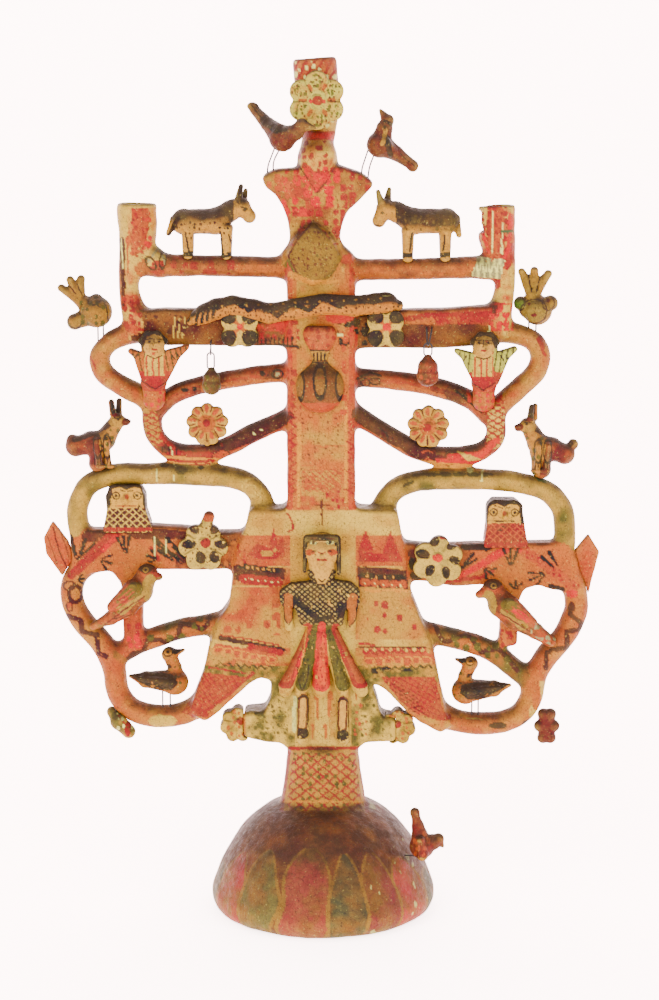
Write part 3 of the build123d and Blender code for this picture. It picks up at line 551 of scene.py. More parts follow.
TREE_MARKS = [
    # crown
    (BRIGHT, dots(area((-36, 596), (20, 596), (20, 636), (-30, 640)), 9, 3.6, 3)),
    (RED, dots(area((-30, 572), (24, 572), (18, 604), (-30, 604)), 7, 3.0, 4)),
    (PINK, dots(area((-55, 610), (-20, 610), (-20, 640), (-55, 640)), 8, 3.2, 5)),
    (RED, dots(area((12, 600), (48, 610), (48, 640), (12, 640)), 7, 2.6, 6)),
    (paint(176, 146, 98), area((-8, 592), (-20, 578), (-29, 562), (-22, 549), (-8, 541), (6, 549), (16, 562),
                               (5, 578))),
    (BROWN, stroke(1.5, (-8, 592), (-20, 578), (-29, 563), (-22, 550))),
    (BROWN, dots(area((-26, 545), (12, 545), (12, 588), (-26, 588)), 4.5, 0.8, 7)),
    (YELLOW, stroke(5, (-27, 548), (-10, 541), (12, 542), end=3)),
    (BRIGHT, stroke(5, (-16, 664), (-6, 661), (4, 662), (12, 658))),
    (RED, dots(area((-22, 628), (14, 628), (14, 658), (-22, 658)), 6, 2.2, 8)),
    (BRIGHT, dots(area((-14, 616), (10, 616), (10, 634), (-14, 634)), 8, 3.4, 9)),
    (BROWN, stroke(1.0, (-21, 640), (-12, 626), (-5, 615), (4, 626), (12, 640))),
    (RED, hatch(area((-28, 700), (14, 700), (14, 726), (-28, 726)), 6, 2.6, 62)),
    (WHITE, dots(area((-28, 668), (14, 668), (14, 722), (-28, 722)), 6, 1.5, 10)),
    # left cup
    (CREAM, stroke(8, (-166, 602), (-165.5, 560))),
    (ORANGE, stroke(15, (-151, 598), (-152, 572), (-157, 566), end=6)),
    (RED, dots(stroke(16, (-151, 600), (-153, 570)), 4, 1.3, 11)),
    (BRIGHT, dots(stroke(9, (-143, 592), (-147, 572)), 5, 2.2, 12)),
    (YELLOW, stroke(4, (-140, 606), (-140.5, 586))),
    (CREAM, stroke(5, (-170, 605), (-137, 606))),
    (MAROON, stroke(5, (-167, 576), (-166, 520), end=3)),
    (PINK, stroke(2.6, (-162.5, 578), (-162, 548), end=1)),
    (WHITE, stroke(1.2, (-167.5, 577), (-166, 553))),
    (RED, dots(area((-170, 500), (-150, 500), (-150, 530), (-170, 530)), 6, 2.4, 13)),
    (LILAC, stroke(2.0, (-146, 558), (-136, 571), (-131, 556))),
    (GREY, many(oval(-143, 557, 3.4, 6, 30, rim=1.3), oval(-133, 560, 2.8, 7, -8, rim=1.3))),
    # right cup
    (CREAM, stroke(6, (127, 604), (160, 606))),
    (ORANGE, stroke(14, (143, 600), (144, 570))),
    (RED, dots(stroke(26, (143, 596), (146, 562)), 5, 1.9, 14)),
    (BRIGHT, stroke(4.5, (156, 596), (154, 568), (150, 560), end=2)),
    (BRIGHT, stroke(4.0, (132, 584), (138, 566), end=2)),
    (WHITE, many(stroke(1.3, (141, 600), (140.5, 566)), stroke(1.3, (149, 590), (148.5, 564)))),
    (paint(120, 140, 138), oval(153, 583.5, 6, 1.7)),
    (LILAC, area((124, 546), (148, 544), (152, 560), (127, 563))),
    (WHITE, hatch(area((124, 546), (148, 544), (152, 560), (127, 563)), 5, 1.6, 80, 100)),
    (BRIGHT, dots(area((138, 500), (160, 500), (158, 524), (140, 524)), 6, 2.8, 15)),
    (WHITE, stroke(1.6, (139, 505), (139, 498))),
    # upper bar
    (RED, dots(area((-128, 548), (-74, 548), (-74, 563), (-128, 563)), 8, 3.4, 16)),
    (OCHRE, stroke(7, (-70, 553), (-35, 552))),
    (OCHRE, stroke(6, (122, 552), (125, 560))),
    (OCHRE, stroke(8, (30, 545), (60, 546))),
    # middle bar
    (CREAM, row(3, lambda x, z: stroke(1.4, (x, z), (x + 1.5, z + 17)), -125, 495, -117, 495)),
    (MAROON, dots(area((-150, 497), (-112, 497), (-112, 514), (-150, 514)), 6, 1.5, 17)),
    (BRIGHT, area((-58, 500), (-32, 500), (-28, 512), (-50, 513))),
    (RED, dots(area((-60, 491), (-20, 491), (-20, 516), (-60, 516)), 6, 2.0, 18)),
    (SOOT, row(9, lambda x, z: stroke(1.4, (x, z), (x + 0.4, z + 6)), -55, 488, -26, 490)),
    (SOOT, stroke(2.6, (-58, 487), (-40, 489), (-20, 487))),
    (SOOT, oval(-52, 509, 4, 2)),
    (RED, stroke(4.5, (66, 510), (90, 514), (136, 515))),
    (RED, row(5, lambda x, z: stroke(1.2, (x - 3, z + 4), (x, z - 1.5), (x + 3, z + 4)), 96, 508, 132, 508)),
    (SOOT, dots(area((14, 488), (44, 488), (34, 516), (10, 516)), 8, 3.2, 19)),
    (BRIGHT, oval(14, 512, 12, 5)),
    (WHITE, stroke(3.0, (8, 497), (16, 497))),
    # curls and lower bars
    (RED, stroke(5, (181, 494), (186, 480), end=2)),
    (OCHRE, stroke(6, (-100, 452), (-60, 456), (-30, 458))),
    (OCHRE, stroke(7, (36, 452), (70, 452), (100, 444))),
    (SOOT, many(oval(36, 457, 4, 3, rim=1.4), oval(44, 458, 4, 3, rim=1.4),
                stroke(2, (28, 460), (40, 466), (48, 463)))),
    (SOOT, many(stroke(2.2, (112, 450), (133, 432)), stroke(1.6, (118, 453), (138, 436)))),
    (SOOT, many(oval(-38, 464.5, 4.4, 3.6, rim=1.6), oval(-51, 465, 2.4), oval(-116, 451, 3.4, 2),
                oval(-108, 452, 2))),
    (LILAC, oval(-38, 464.5, 2.0)),
    (RED, stroke(1.5, (-196, 482), (-190, 468))),
    # hook arms
    (TAN, stroke(15, (-147, 428), (-142, 410))),
    (RED, hatch(stroke(15, (-146, 426), (-141, 408)), 4.5, 1.2, 25, 155)),
    (BRIGHT, stroke(4, (-136, 412), (-126, 402))),
    (RED, stroke(8, (-128, 396), (-96, 394))),
    (MAROON, stroke(11, (-86, 402), (-60, 412), (-30, 428))),
    (SOOT, row(3, lambda x, z: stroke(1.1, (x, z), (x + 1, z + 6)), -136, 398, -124, 395)),
    (OCHRE, stroke(5, (-74, 397), (-40, 411), (-28, 420))),
    (ORANGE, oval(-86, 395, 7.5, 4.6, 12)),
    (MAROON, oval(-86, 395, 7.5, 4.6, 12, rim=1.0)),
    (SOOT, oval(-84, 396, 1.0)),
    (WHITE, many(stroke(0.9, (-128, 402), (-125, 386), (-126, 374)), oval(-58, 414, 0.9),
                 oval(-52, 417, 0.8))),
    (CREAM, stroke(14, (146, 430), (145, 408))),
    (RED, hatch(stroke(16, (143, 446), (146, 424), (143, 404)), 4.6, 1.3, 30, 150)),
    (BRIGHT, dots(area((122, 440), (152, 440), (148, 462), (118, 462)), 6, 2.4, 20)),
    (BRIGHT, stroke(6, (108, 394), (134, 396), (146, 408))),
    (MAROON, stroke(13, (30, 430), (58, 412), (78, 400), (90, 393))),
    (MAROON, oval(88, 391.5, 9, 6.5, -10)),
    (PINK, many(stroke(1.2, (84, 398), (88, 400), (92, 398)), stroke(1.2, (84, 389), (88, 393), (92, 390)))),
    (SOOT, stroke(1.2, (48, 419), (54, 414), (55, 404))),
    (OCHRE, stroke(5, (28, 416), (50, 405), (66, 398))),
    # between hook arms and loops
    (YELLOW, area((-144, 392), (-132, 388), (-78, 389), (-78, 393), (-100, 393), (-140, 396))),
    (RED, stroke(2.2, (-140, 392), (-110, 390), (-92, 391))),
    (YELLOW, area((72, 392), (72, 382), (140, 382), (140, 390), (100, 390))),
    (BRIGHT, stroke(3.0, (96, 391), (134, 389))),
    (CREAM, area((112, 400), (134, 392), (122, 390))),
    (OLIVE, row(6, lambda x, z: oval(x, z, 6, 2.0), 80, 379, 138, 379)),
    (WHITE, many(oval(124, 383, 3, 2.4), stroke(1.4, (135, 386), (134, 374)))),
    # loops
    (GREEN, many(oval(-120, 382.5, 5, 3.5), oval(-134, 387, 4, 2), oval(-103, 385, 3, 1.6),
                 oval(72, 371, 6, 1.8, 20))),
    (CREAM, many(oval(-60, 368, 8, 8, rim=1.2), oval(-61, 366, 4.6, rim=1.0))),
    (paint(156, 170, 150), oval(188, 376, 8, 4)),
    (WHITE, stroke(0.8, (-140, 384), (-141, 372))),
    # trunk
    (YELLOW, many(stroke(2.6, (-20, 422), (-20.5, 352)), stroke(2.2, (19.5, 436), (19.5, 356)))),
    (RED, row(9, lambda x, z: stroke(1.3, (x - 3, z), (x + 3, z + 3.5), (x - 3, z + 7)), -25.5, 362, -25.5,
              424)),
    (RED, row(8, lambda x, z: stroke(1.3, (x + 3, z), (x - 3, z + 3.5), (x + 3, z + 7)), 23.5, 362, 23.5,
              420)),
    (OCHRE, many(stroke(1.3, (-18, 403), (17, 403)), stroke(1.2, (-18, 387), (17, 388)))),
    (MAROON, dots(area((-18, 388), (18, 388), (18, 428), (-18, 428)), 5, 0.7, 21)),
    (ROSE, hatch(area((-17, 364), (16, 364), (16, 384), (-17, 384)), 3.4, 1.0, 38, 142)),
    (RED, dots(area((4, 350), (20, 350), (20, 366), (2, 366)), 5, 1.6, 22)),
    (BROWN, many(stroke(1.7, (-1, 357), (-1, 336)), stroke(1.6, (-6.5, 353), (5, 353)))),
    (RED, dots(area((-30, 432), (-18, 432), (-16, 470), (-30, 470)), 7, 2.6, 23)),
    (ORANGE, dots(area((14, 430), (27, 430), (27, 500), (16, 500)), 7, 3.0, 24)),
    # bell panel, left
    (RED, stroke(1.6, (-30, 346), (-26, 338), (-25, 332), (-29, 330))),
    (RED, many(area((-64, 310), (-56, 306), (-40, 306), (-33, 312), (-40, 320), (-46, 316), (-56, 320)),
               area((-46, 318), (-42, 333), (-38, 318)), oval(-35, 316, 3, 9))),
    (TAN, many(oval(-48, 311, 5, 3), oval(-41, 314, 1.6))),
    (RED, stroke(3.0, (-72, 318), (-66, 300))),
    (MAROON, area((-76, 302), (-76, 288), (-34, 284), (-31, 298))),
    (RED, row(6, lambda x, z: oval(x, z, 4.6, 4.4), -67, 289, -38, 286)),
    (SOOT, stroke(4.6, (-70, 300), (-52, 298), (-38, 296))),
    (YELLOW, row(6, lambda x, z: oval(x, z, 1.1), -64, 298.6, -42, 296.6)),
    (WHITE, row(6, lambda x, z: oval(x, z, 0.8), -66, 289, -38, 286)),
    (ROSE, dots(area((-88, 242), (-36, 240), (-36, 284), (-72, 284)), 11, 3.2, 25)),
    (RED, stroke(1.4, (-88, 240), (-60, 236), (-38, 231))),
    (PLUM, stroke(4.0, (-88, 237.5), (-34, 227))),
    (RED, row(7, lambda x, z: oval(x, z, 3.2, 3.0), -62, 229.5, -37, 224.5)),
    (PINK, row(7, lambda x, z: oval(x, z, 4.8, 4.0), -89, 229, -44, 220)),
    (YELLOW, row(7, lambda x, z: oval(x, z, 4.8, 3.6, rim=0.9), -89, 226, -44, 217)),
    (GREEN, row(7, lambda x, z: stroke(1.4, (x - 3, z), (x, z + 3), (x + 3, z)), -88, 213, -46, 210)),
    (RED, stroke(1.5, (-98, 212), (-66, 206))),
    (ROSE, area((-104, 207), (-66, 203), (-96, 176), (-112, 168), (-122, 172), (-112, 186))),
    (RED, hatch(area((-104, 207), (-66, 203), (-96, 176), (-112, 168), (-122, 172), (-112, 186)), 4.0, 1.0,
                32, 120)),
    (RED, stroke(3.0, (-60, 207), (-78, 190), (-96, 176), (-112, 168))),
    # bell panel, right
    (RED, many(area((29, 312), (36, 332), (43, 314)), area((49, 308), (57, 331), (66, 308)))),
    (RED, area((30, 313), (66, 309), (68, 304), (30, 304))),
    (MAROON, area((29, 300), (30, 282), (73, 280), (71, 297))),
    (ROSE, row(5, lambda x, z: oval(x, z, 4.2, 3.6), 36, 286, 68, 284)),
    (SOOT, stroke(4.6, (33, 292.5), (50, 290.5), (68, 290))),
    (YELLOW, row(4, lambda x, z: oval(x, z, 1.1), 38, 291.5, 60, 290)),
    (WHITE, row(5, lambda x, z: oval(x, z, 0.8), 36, 285, 66, 283)),
    (YELLOW, stroke(2.2, (36, 279), (72, 279))),
    (RED, dots(area((36, 238), (84, 238), (72, 270), (40, 270)), 10, 2.6, 26)),
    (RED, stroke(2.6, (31, 233), (44, 231))),
    (PLUM, stroke(1.8, (31, 229), (88, 229))),
    (RED, row(8, lambda x, z: oval(x, z, 3.3, 3.3), 37, 226, 85, 226)),
    (CREAM, row(8, lambda x, z: oval(x, z, 1.7, 1.5), 37, 227, 85, 227)),
    (PINK, row(7, lambda x, z: oval(x, z, 5.0, 4.6), 40, 219, 88, 220)),
    (YELLOW, row(7, lambda x, z: oval(x, z, 5.0, 4.2, rim=0.9), 40, 216, 88, 217)),
    (GREEN, row(7, lambda x, z: stroke(1.5, (x - 3, z), (x, z + 3), (x + 3, z)), 48, 209, 90, 211)),
    (SOOT, many(oval(44, 208, 3.5, 2.4, -40), oval(54, 211, 4, 1.4), oval(72, 209, 5, 1.2))),
    (ROSE, area((50, 203), (96, 203), (104, 172), (100, 164), (78, 172), (66, 182))),
    (RED, hatch(area((50, 203), (96, 203), (104, 172), (100, 164), (78, 172), (66, 182)), 4.2, 1.0, 60, 150)),
    (MAROON, hatch(area((50, 203), (66, 182), (78, 171), (90, 166), (80, 186)), 3.6, 0.8, 20)),
    # round the legs and the little flowers
    (CREAM, stroke(13, (-1, 196), (-1, 152))),
    (OCHRE, many(stroke(4, (-5, 190), (-5, 166), end=2), stroke(5, (6, 188), (5, 168), end=2))),
    (OCHRE, many(stroke(3, (-9, 160), (-9, 148), end=1.5), stroke(3, (2, 160), (2, 148), end=1.5))),
    (WHITE, stroke(3.6, (-24, 184), (-25, 156))),
    (OLIVE, dots(area((-66, 152), (-30, 152), (-34, 190), (-60, 176)), 5, 1.2, 27)),
    (OLIVE, dots(area((30, 150), (60, 150), (50, 176), (34, 190)), 5, 1.2, 28)),
    (ORANGE, dots(area((26, 150), (38, 150), (34, 196), (28, 196)), 5, 1.2, 29)),
    # stem
    (TAN, area((-28, 142), (31, 142), (38, 84), (-36, 84))),
    (RED, many(stroke(3.2, (-29, 140), (31, 140)), stroke(3.0, (-29, 138), (-36, 84)),
               stroke(3.0, (31, 138), (38, 84)))),
    (RED, hatch(area((-26, 136), (28, 136), (34, 84), (-32, 84)), 6.5, 1.6, 40, 140)),
    (OLIVE, dots(area((-26, 136), (28, 136), (34, 84), (-32, 84)), 7, 1.5, 30)),
    (YELLOW, stroke(1.6, (-34, 92), (36, 92))),
    # shelf, left
    (BROWN, stroke(10, (-200, 326), (-140, 328), (-110, 326), end=8)),
    (RED, stroke(11, (-176, 328), (-200, 306), (-214, 292), end=7)),
    (BRIGHT, stroke(4, (-176, 326), (-186, 314))),
    (OCHRE, area((-170, 330), (-150, 318), (-146, 306), (-170, 300), (-186, 302))),
    (RED, stroke(4, (-146, 315), (-140, 306))),
    (SOOT, fan(-167, 309, 17, 98, spread=17, width=3.2)),
    (SOOT, fan(-190, 306, 11, -20, spread=38, width=2.8)),
    (SOOT, fan(-141, 306, 9, 160, spread=40, width=3.0)),
    (SOOT, fan(-209, 288, 6, 10, spread=40, width=2.4)),
    (SOOT, many(stroke(5.5, (-142, 322), (-120, 303), end=3), stroke(5.0, (-132, 323), (-118, 308), end=3),
                stroke(4.0, (-140, 314), (-126, 304), end=2))),
    (SOOT, many(stroke(4.5, (-202, 322), (-208, 306), end=2), stroke(3.0, (-194, 320), (-206, 308), end=1.5),
                stroke(3.0, (-214, 326), (-210, 308)))),
    (WHITE, many(stroke(1.1, (-143, 325), (-143, 309)), stroke(1.1, (-134, 324), (-133, 311)))),
    (OCHRE, dots(area((-84, 322), (-68, 322), (-68, 300), (-88, 298)), 6, 2.4, 31)),
    # shelf, right
    (GREY, stroke(6, (120, 317), (140, 316))),
    (OCHRE, area((160, 318), (146, 300), (150, 280), (168, 274), (180, 286), (196, 296))),
    (BRIGHT, stroke(8, (154, 314), (136, 302), (118, 292), end=5)),
    (RED, stroke(3.5, (104, 287), (134, 290), (144, 296))),
    (PINK, stroke(9, (170, 314), (190, 300), (214, 282), end=8)),
    (RED, dots(stroke(9, (170, 314), (190, 300), (214, 282)), 5, 1.4, 32)),
    (BRIGHT, many(oval(212, 276, 5, 4), oval(166, 314, 4, 2.6))),
    (SOOT, fan(160, 298, 18, 92, spread=20, width=3.4)),
    (SOOT, fan(137, 299, 10, -40, spread=36, width=2.8)),
    (SOOT, fan(190, 294, 15, 205, spread=26, width=2.8)),
    (SOOT, fan(164, 279, 8, 90, spread=40, width=2.6)),
    (SOOT, many(stroke(3.6, (192, 312), (199, 301), end=2), stroke(3.6, (186, 308), (196, 299), end=2))),
    (SOOT, many(stroke(2.6, (128, 311), (120, 302)), stroke(2.6, (130, 306), (112, 295)))),
    (SOOT, many(stroke(4, (194, 283), (204, 280)), oval(80, 292, 6, 4), oval(76, 302, 3, 6))),
    # red perches
    (ROSE, area((-172, 264), (-152, 264), (-150, 232), (-160, 214), (-178, 226))),
    (RED, dots(area((-172, 262), (-150, 262), (-150, 230), (-178, 230)), 7, 3.0, 33)),
    (BRIGHT, dots(area((-170, 240), (-152, 240), (-152, 228), (-174, 228)), 6, 2.6, 34)),
    (RED, dots(area((148, 246), (176, 240), (178, 224), (150, 224)), 6, 2.8, 35)),
    (OCHRE, dots(area((148, 240), (176, 236), (178, 222), (150, 222)), 7, 2.2, 36)),
    # snakes along the arms
    (MAROON, stroke(4.6, (-166, 220), (-162, 224), (-154, 225), (-150, 235), (-140, 236), (-130, 232),
                    (-124, 238),
                    (-121, 250), (-112, 249), (-104, 245), (-99, 248), (-97, 256))),
    (MAROON, many(stroke(4.4, (-220, 257), (-207, 253), (-206, 243), (-193, 240), (-192, 224), (-185, 221)),
                  oval(-216, 283, 5, 4, rim=1.6), oval(-211, 276, 5.5, 7, rim=3.0),
                  oval(-216, 265, 3.4, 5.0))),
    (PINK, oval(-216, 265, 2.0, 3.6)),
    (MAROON, stroke(4.2, (95, 250), (101, 236), (106, 234), (121, 240), (126, 238), (135, 225), (150, 228),
                    (158, 220),
                    (166, 209))),
    (MAROON, stroke(4.4, (212, 267), (211, 258), (221, 250), (219, 245), (208, 243), (209, 229), (196, 227),
                    (191, 224),
                    (191, 211))),
    (MAROON, oval(212, 264, 3.2, 4.6)),
    (OLIVE, dots(area((-150, 250), (-100, 262), (-100, 240), (-150, 226)), 9, 2.8, 37)),
    (OLIVE, dots(area((106, 240), (176, 236), (176, 212), (110, 226)), 9, 2.8, 38)),
    (CREAM, many(oval(-138, 164, 12, 6), oval(188, 190, 4, 10), oval(183, 172, 6, 8), oval(128, 164, 10, 3))),
    (OCHRE, many(stroke(7, (-184, 206), (-182, 180)), stroke(8, (180, 210), (184, 178)),
                 stroke(7, (112, 164), (140, 161)))),
    (RED, many(oval(-106, 172, 8, 4, -30), oval(104, 168, 6, 4))),
    (GREY, many(oval(150, 160, 8, 3), oval(176, 160, 6, 5, 50))),
]

# ------------------------------------------------------------------ the tree itself
SIDES = ("left", "right")
STRUCTURE = ["base_dome", "stem", "bell_panel", "trunk", "crown_bracket", "crown_cup", "cup_left",
             "cup_right",
             "upper_bar", "middle_bar"]
STRUCTURE += [f"{name}_{side}" for name in ("loop", "shelf", "outer_arm", "cross_arm", "lower_bar",
                                            "hook_arm", "curl")
              for side in SIDES]
TAGS = {name: number + 1 for number, name in enumerate(STRUCTURE)}


def dome_paint(points, normals):
    """Upright petals round a plum dome."""
    x, y, z = points.T
    angle = np.degrees(np.arctan2(x, -y))
    colour = mottled(paint(150, 98, 88), paint(172, 122, 104), 22, 3)(points, normals)
    petals = [(-80, 24, 44, GREEN), (76, 24, 40, GREEN), (-60, 27, 60, RED), (54, 28, 58, RED),
              (-37, 26, 67, OLIVE),
              (33, 26, 66, RUST_RED), (-9, 31, 72, TERRACOTTA), (14, 22, 68, GREEN)]
    for centre, width, top, tone in petals:
        up = np.clip((z + 14) / (top + 14), 0, 1)
        half = 0.5 * width * np.sqrt(np.clip(1 - (2 * up - 0.95) ** 2 / 1.15, 0, 1))
        off = np.abs(angle - centre + 3 * value_noise(points, 30, 7))
        inside = (off < half) & (z < top) & (np.abs(angle) < 100)
        rim = inside & (off > half - 1.8)
        worn = mottled(tone * 1.5 + 0.004, paint(176, 138, 108), 14, int(centre) + 200, -0.2)
        colour[inside] = worn(points[inside], normals[inside])
        colour[rim] = paint(190, 154, 112)
    white = (value_noise(points, 6, 77) + value_noise(points, 20, 78) > 1.05) & (x > 40)
    colour[white] = paint(220, 206, 190)
    return colour


def trunk_paint(points, normals):
    x, y, z = points.T
    colour = mottled(TAN, OCHRE, 16, 8)(points, normals)
    edge = (np.abs(x + 1.5) > 20)
    colour[edge] = mottled(paint(198, 92, 48), ORANGE, 9, 9)(points[edge], normals[edge])
    band = edge & (np.abs(x + 1.5) < 23.5)
    colour[band] = OCHRE
    lattice = (z > 363) & (z < 385) & (np.abs(x + 1) < 17)
    colour[lattice] = mottled(TAN, ROSE, 6, 10, -0.2)(points[lattice], normals[lattice])
    low = (z < 363) & ~edge
    colour[low] = mottled(ROSE, TAN, 12, 12)(points[low], normals[low])
    return colour


def bell_paint(points, normals):
    x, y, z = points.T
    colour = mottled(TAN, CREAM, 18, 14)(points, normals)
    flank = (np.abs(x) > 27)
    upper = flank & (z > 303) & (z < 330)
    colour[upper] = mottled(paint(204, 142, 92), ROSE, 12, 15)(points[upper], normals[upper])
    fringe = flank & (z > 287) & (z < 303)
    colour[fringe] = mottled(paint(196, 120, 80), TAN, 9, 16)(points[fringe], normals[fringe])
    middle = flank & (z > 240) & (z < 286)
    colour[middle] = mottled(TAN, ROSE, 20, 17, -0.15)(points[middle], normals[middle])
    pink = flank & (z > 217) & (z < 233)
    colour[pink] = mottled(ROSE, TAN, 8, 18)(points[pink], normals[pink])
    green = flank & (z > 203) & (z < 217)
    colour[green] = mottled(TAN, OLIVE, 7, 19, 0.15)(points[green], normals[green])
    corner = (np.abs(x) > 50) & (z <= 203) & (z > 150)
    colour[corner] = mottled(paint(208, 140, 88), TAN, 10, 20)(points[corner], normals[corner])
    stub = (np.abs(x) > 24) & (z < 206) & (np.abs(x) < 66) & ((np.abs(x) < 48) | (z < 178))
    colour[stub] = mottled(CREAM, OLIVE, 9, 21, -0.1)(points[stub], normals[stub])
    return colour


def crown_paint(points, normals):
    x, y, z = points.T
    colour = mottled(paint(178, 128, 84), TAN, 12, 24)(points, normals)
    hot = value_noise(points, 11, 26) > 0.3
    colour[hot] = mix(RED, ROSE, 0.5 + 0.5 * value_noise(points[hot], 5, 27))
    leaf = (z < 590 - 1.35 * np.abs(x + 8)) & (z > 541) & (y < -8)
    colour[leaf] = mottled(paint(170, 138, 92), OLIVE, 9, 28)(points[leaf], normals[leaf])
    return colour


def cup_paint(points, normals):
    x, y, z = points.T
    colour = mottled(CREAM, ORANGE, 12, 30)(points, normals)
    hot = (value_noise(points, 9, 31) > 0.35) & (z < 600)
    colour[hot] = mottled(RED, ORANGE, 6, 32)(points[hot], normals[hot])
    return colour


def top_cup_paint(points, normals):
    x, y, z = points.T
    colour = mottled(CREAM, OCHRE, 11, 34)(points, normals)
    rim = z > 706
    colour[rim] = mottled(RED, ROSE, 7, 35)(points[rim], normals[rim])
    tip = (z < 634) | ((z > 659) & (z < 666))
    colour[tip] = mottled(RED, ORANGE, 6, 36)(points[tip], normals[tip])
    return colour


def bar_paint(points, normals):
    x, y, z = points.T
    colour = mottled(paint(172, 128, 84), BROWN, 12, 38)(points, normals)
    red = (z > 507) & (x > 60) & (x < 140)
    colour[red] = mottled(RED, OCHRE, 9, 39)(points[red], normals[red])
    return colour


def shelf_paint(points, normals):
    x, y, z = points.T
    colour = mottled(paint(206, 138, 80), OCHRE, 14, 41)(points, normals)
    inner = np.abs(x) < 125
    colour[inner] = mottled(BROWN, OCHRE, 12, 42)(points[inner], normals[inner])
    return colour


def hook_paint(points, normals):
    x, y, z = points.T
    colour = mottled(ORANGE, RED, 9, 45)(points, normals)
    red = normals[:, 2] > -0.45
    colour[red] = mottled(MAROON, RED, 12, 46, -0.2)(points[red], normals[red])
    return colour


PAINTS = {
    "base_dome": dome_paint, "stem": mottled(paint(206, 130, 66), TAN, 14, 50), "bell_panel": bell_paint,
    "trunk": trunk_paint, "crown_bracket": crown_paint, "crown_cup": top_cup_paint, "cup_left": cup_paint,
    "cup_right": cup_paint, "upper_bar": mottled(paint(172, 118, 76), OCHRE, 14, 52, -0.1),
    "middle_bar": bar_paint,
}
for side in SIDES:
    PAINTS[f"loop_{side}"] = mottled(paint(206, 174, 130), OLIVE, 20, 54, -0.36)
    PAINTS[f"shelf_{side}"] = shelf_paint
    PAINTS[f"outer_arm_{side}"] = mottled(paint(200, 130, 62), paint(208, 160, 110), 20, 56)
    PAINTS[f"cross_arm_{side}"] = mottled(OCHRE, OLIVE, 16, 58, -0.1)
    PAINTS[f"lower_bar_{side}"] = mottled(paint(196, 116, 48), BROWN, 14, 60)
    PAINTS[f"hook_arm_{side}"] = hook_paint
    PAINTS[f"curl_{side}"] = mottled(paint(198, 128, 86), TAN, 16, 62)

TREE_VOXEL = 1.2
SOFT_JOIN, CRISP_JOIN = 6.0, 3.0
low, high = box_of(STRUCTURE)
tree_clay = Clay(low, high, TREE_VOXEL)
for name in STRUCTURE:
    tree_clay.node(name, soft=CRISP_JOIN if name in ("crown_cup", "base_dome") else SOFT_JOIN, tag=TAGS[name])
tree_clay.stick((-4, -11, 620), (-4, -11, 646), 5, 14, soft=4, tag=TAGS["crown_cup"])
tree_clay.stick((-4, -11, 646), (-4, -9, 658), 14, 11, soft=4, tag=TAGS["crown_cup"])
tree_clay.pat((-138, -3, 559), (8, 10, 13), soft=5, tag=TAGS["cup_left"], tilt=18)
tree_clay.pat((136, -3, 553), (12, 10, 9), soft=5, tag=TAGS["cup_right"])
tree_clay.pat((-8, -17, 566), (19, 8, 22), soft=6, tag=TAGS["crown_bracket"])
tree_clay.smooth(7)
tree = tree_clay.mesh("clay_tree", {TAGS[name]: PAINTS[name] for name in STRUCTURE}, wobble=0.7,
                      wobble_size=17)
decorate(tree, TREE_MARKS)
finish_piece(tree, "tree", STRUCTURE)
del tree_clay

# ------------------------------------------------------------------ figures
FINE = 0.75
BODIES = frame["record"]["behaviour"]["bodies"]
BODY_OF = {node_name: body for body, names in BODIES.items() for node_name in names}


def figure(name, ground, marks=(), shape=None, facing=0.3):
    """A modelled figure: its CAD solids, thumbed smooth, with shape(clay) adding details, then painted."""
    lo, hi = box_of([name])
    clay = Clay(lo, hi, FINE)
    clay.node(name, tag=1)
    clay.smooth(2)
    if shape:
        shape(clay)
    piece = clay.mesh(name + "_clay", {1: ground, 2: SOOT}, wobble=0.25, wobble_size=6)
    decorate(piece, marks, facing)
    finish_piece(piece, BODY_OF[name], [name])


def shade(dark, light, line, soft):
    """Dark above a line z = line(x) and light below, as seen from the front."""
    def at(points, normals):
        x, z = seen(points)
        return mix(light, dark, 0.5 + (z - line(x)) / soft + 0.4 * value_noise(points, 5, 70))
    return at


SERPENT_TOP = paint(70, 62, 56)
SERPENT_LINE = [(-98, -15, 516.5), (-88, -14, 520.5), (-75, -12.5, 523), (-58, -13, 520), (-44, -17, 517),
                (-24, -21, 521),
                (0, -22.5, 525), (26, -20.5, 523.5), (44, -15, 525), (54, -13, 525)]


def serpent_ground(points, normals):
    """Dark on the back, ochre on the belly."""
    share = 0.5 + (normals[:, 2] - 0.12) / 0.35 + 0.4 * value_noise(points, 8, 71)
    return mix(paint(208, 156, 96), SERPENT_TOP, share)


def serpent_shape(c):
    for a, b in zip(SERPENT_LINE, SERPENT_LINE[1:]):
        c.stick(a, b, 8.4, soft=2.0, tag=1)
    c.pat((56, -18, 529), (1.6, 1.4, 1.6), 0.6)
    c.stick((63, -15.5, 521), (55, -17.5, 520), 0.7, dig=True)


figure("serpent", serpent_ground, [
    (SOOT, dots(area((-90, 505), (70, 505), (70, 524), (-90, 524)), 3.6, 0.75, 40)),
    (SOOT, row(4, lambda x, z: stroke(2.6, (x, z - 5), (x + 2, z + 6)), -106, 511, -92, 517)),
    (SOOT, stroke(4.2, (-88, 520), (-74, 526), (-62, 518), (-50, 523), (-38, 513), (-26, 524), (-12, 518),
                  (0, 528),
                  (14, 521), (28, 530), (42, 524), (56, 531))),
    (paint(214, 170, 112), row(14, lambda x, z: oval(x, z, 1.0), -84, 521, 48, 528)),
    (SOOT, oval(53, 528, 1.6)),
    (WHITE, stroke(0.8, (50, 530), (56, 530))),
], serpent_shape)


def jug_shape(c):
    for x in (-8, 3):
        c.stick((x, -33, 507), (x, -31, 488), 0.9, soft=0.8, dig=True)


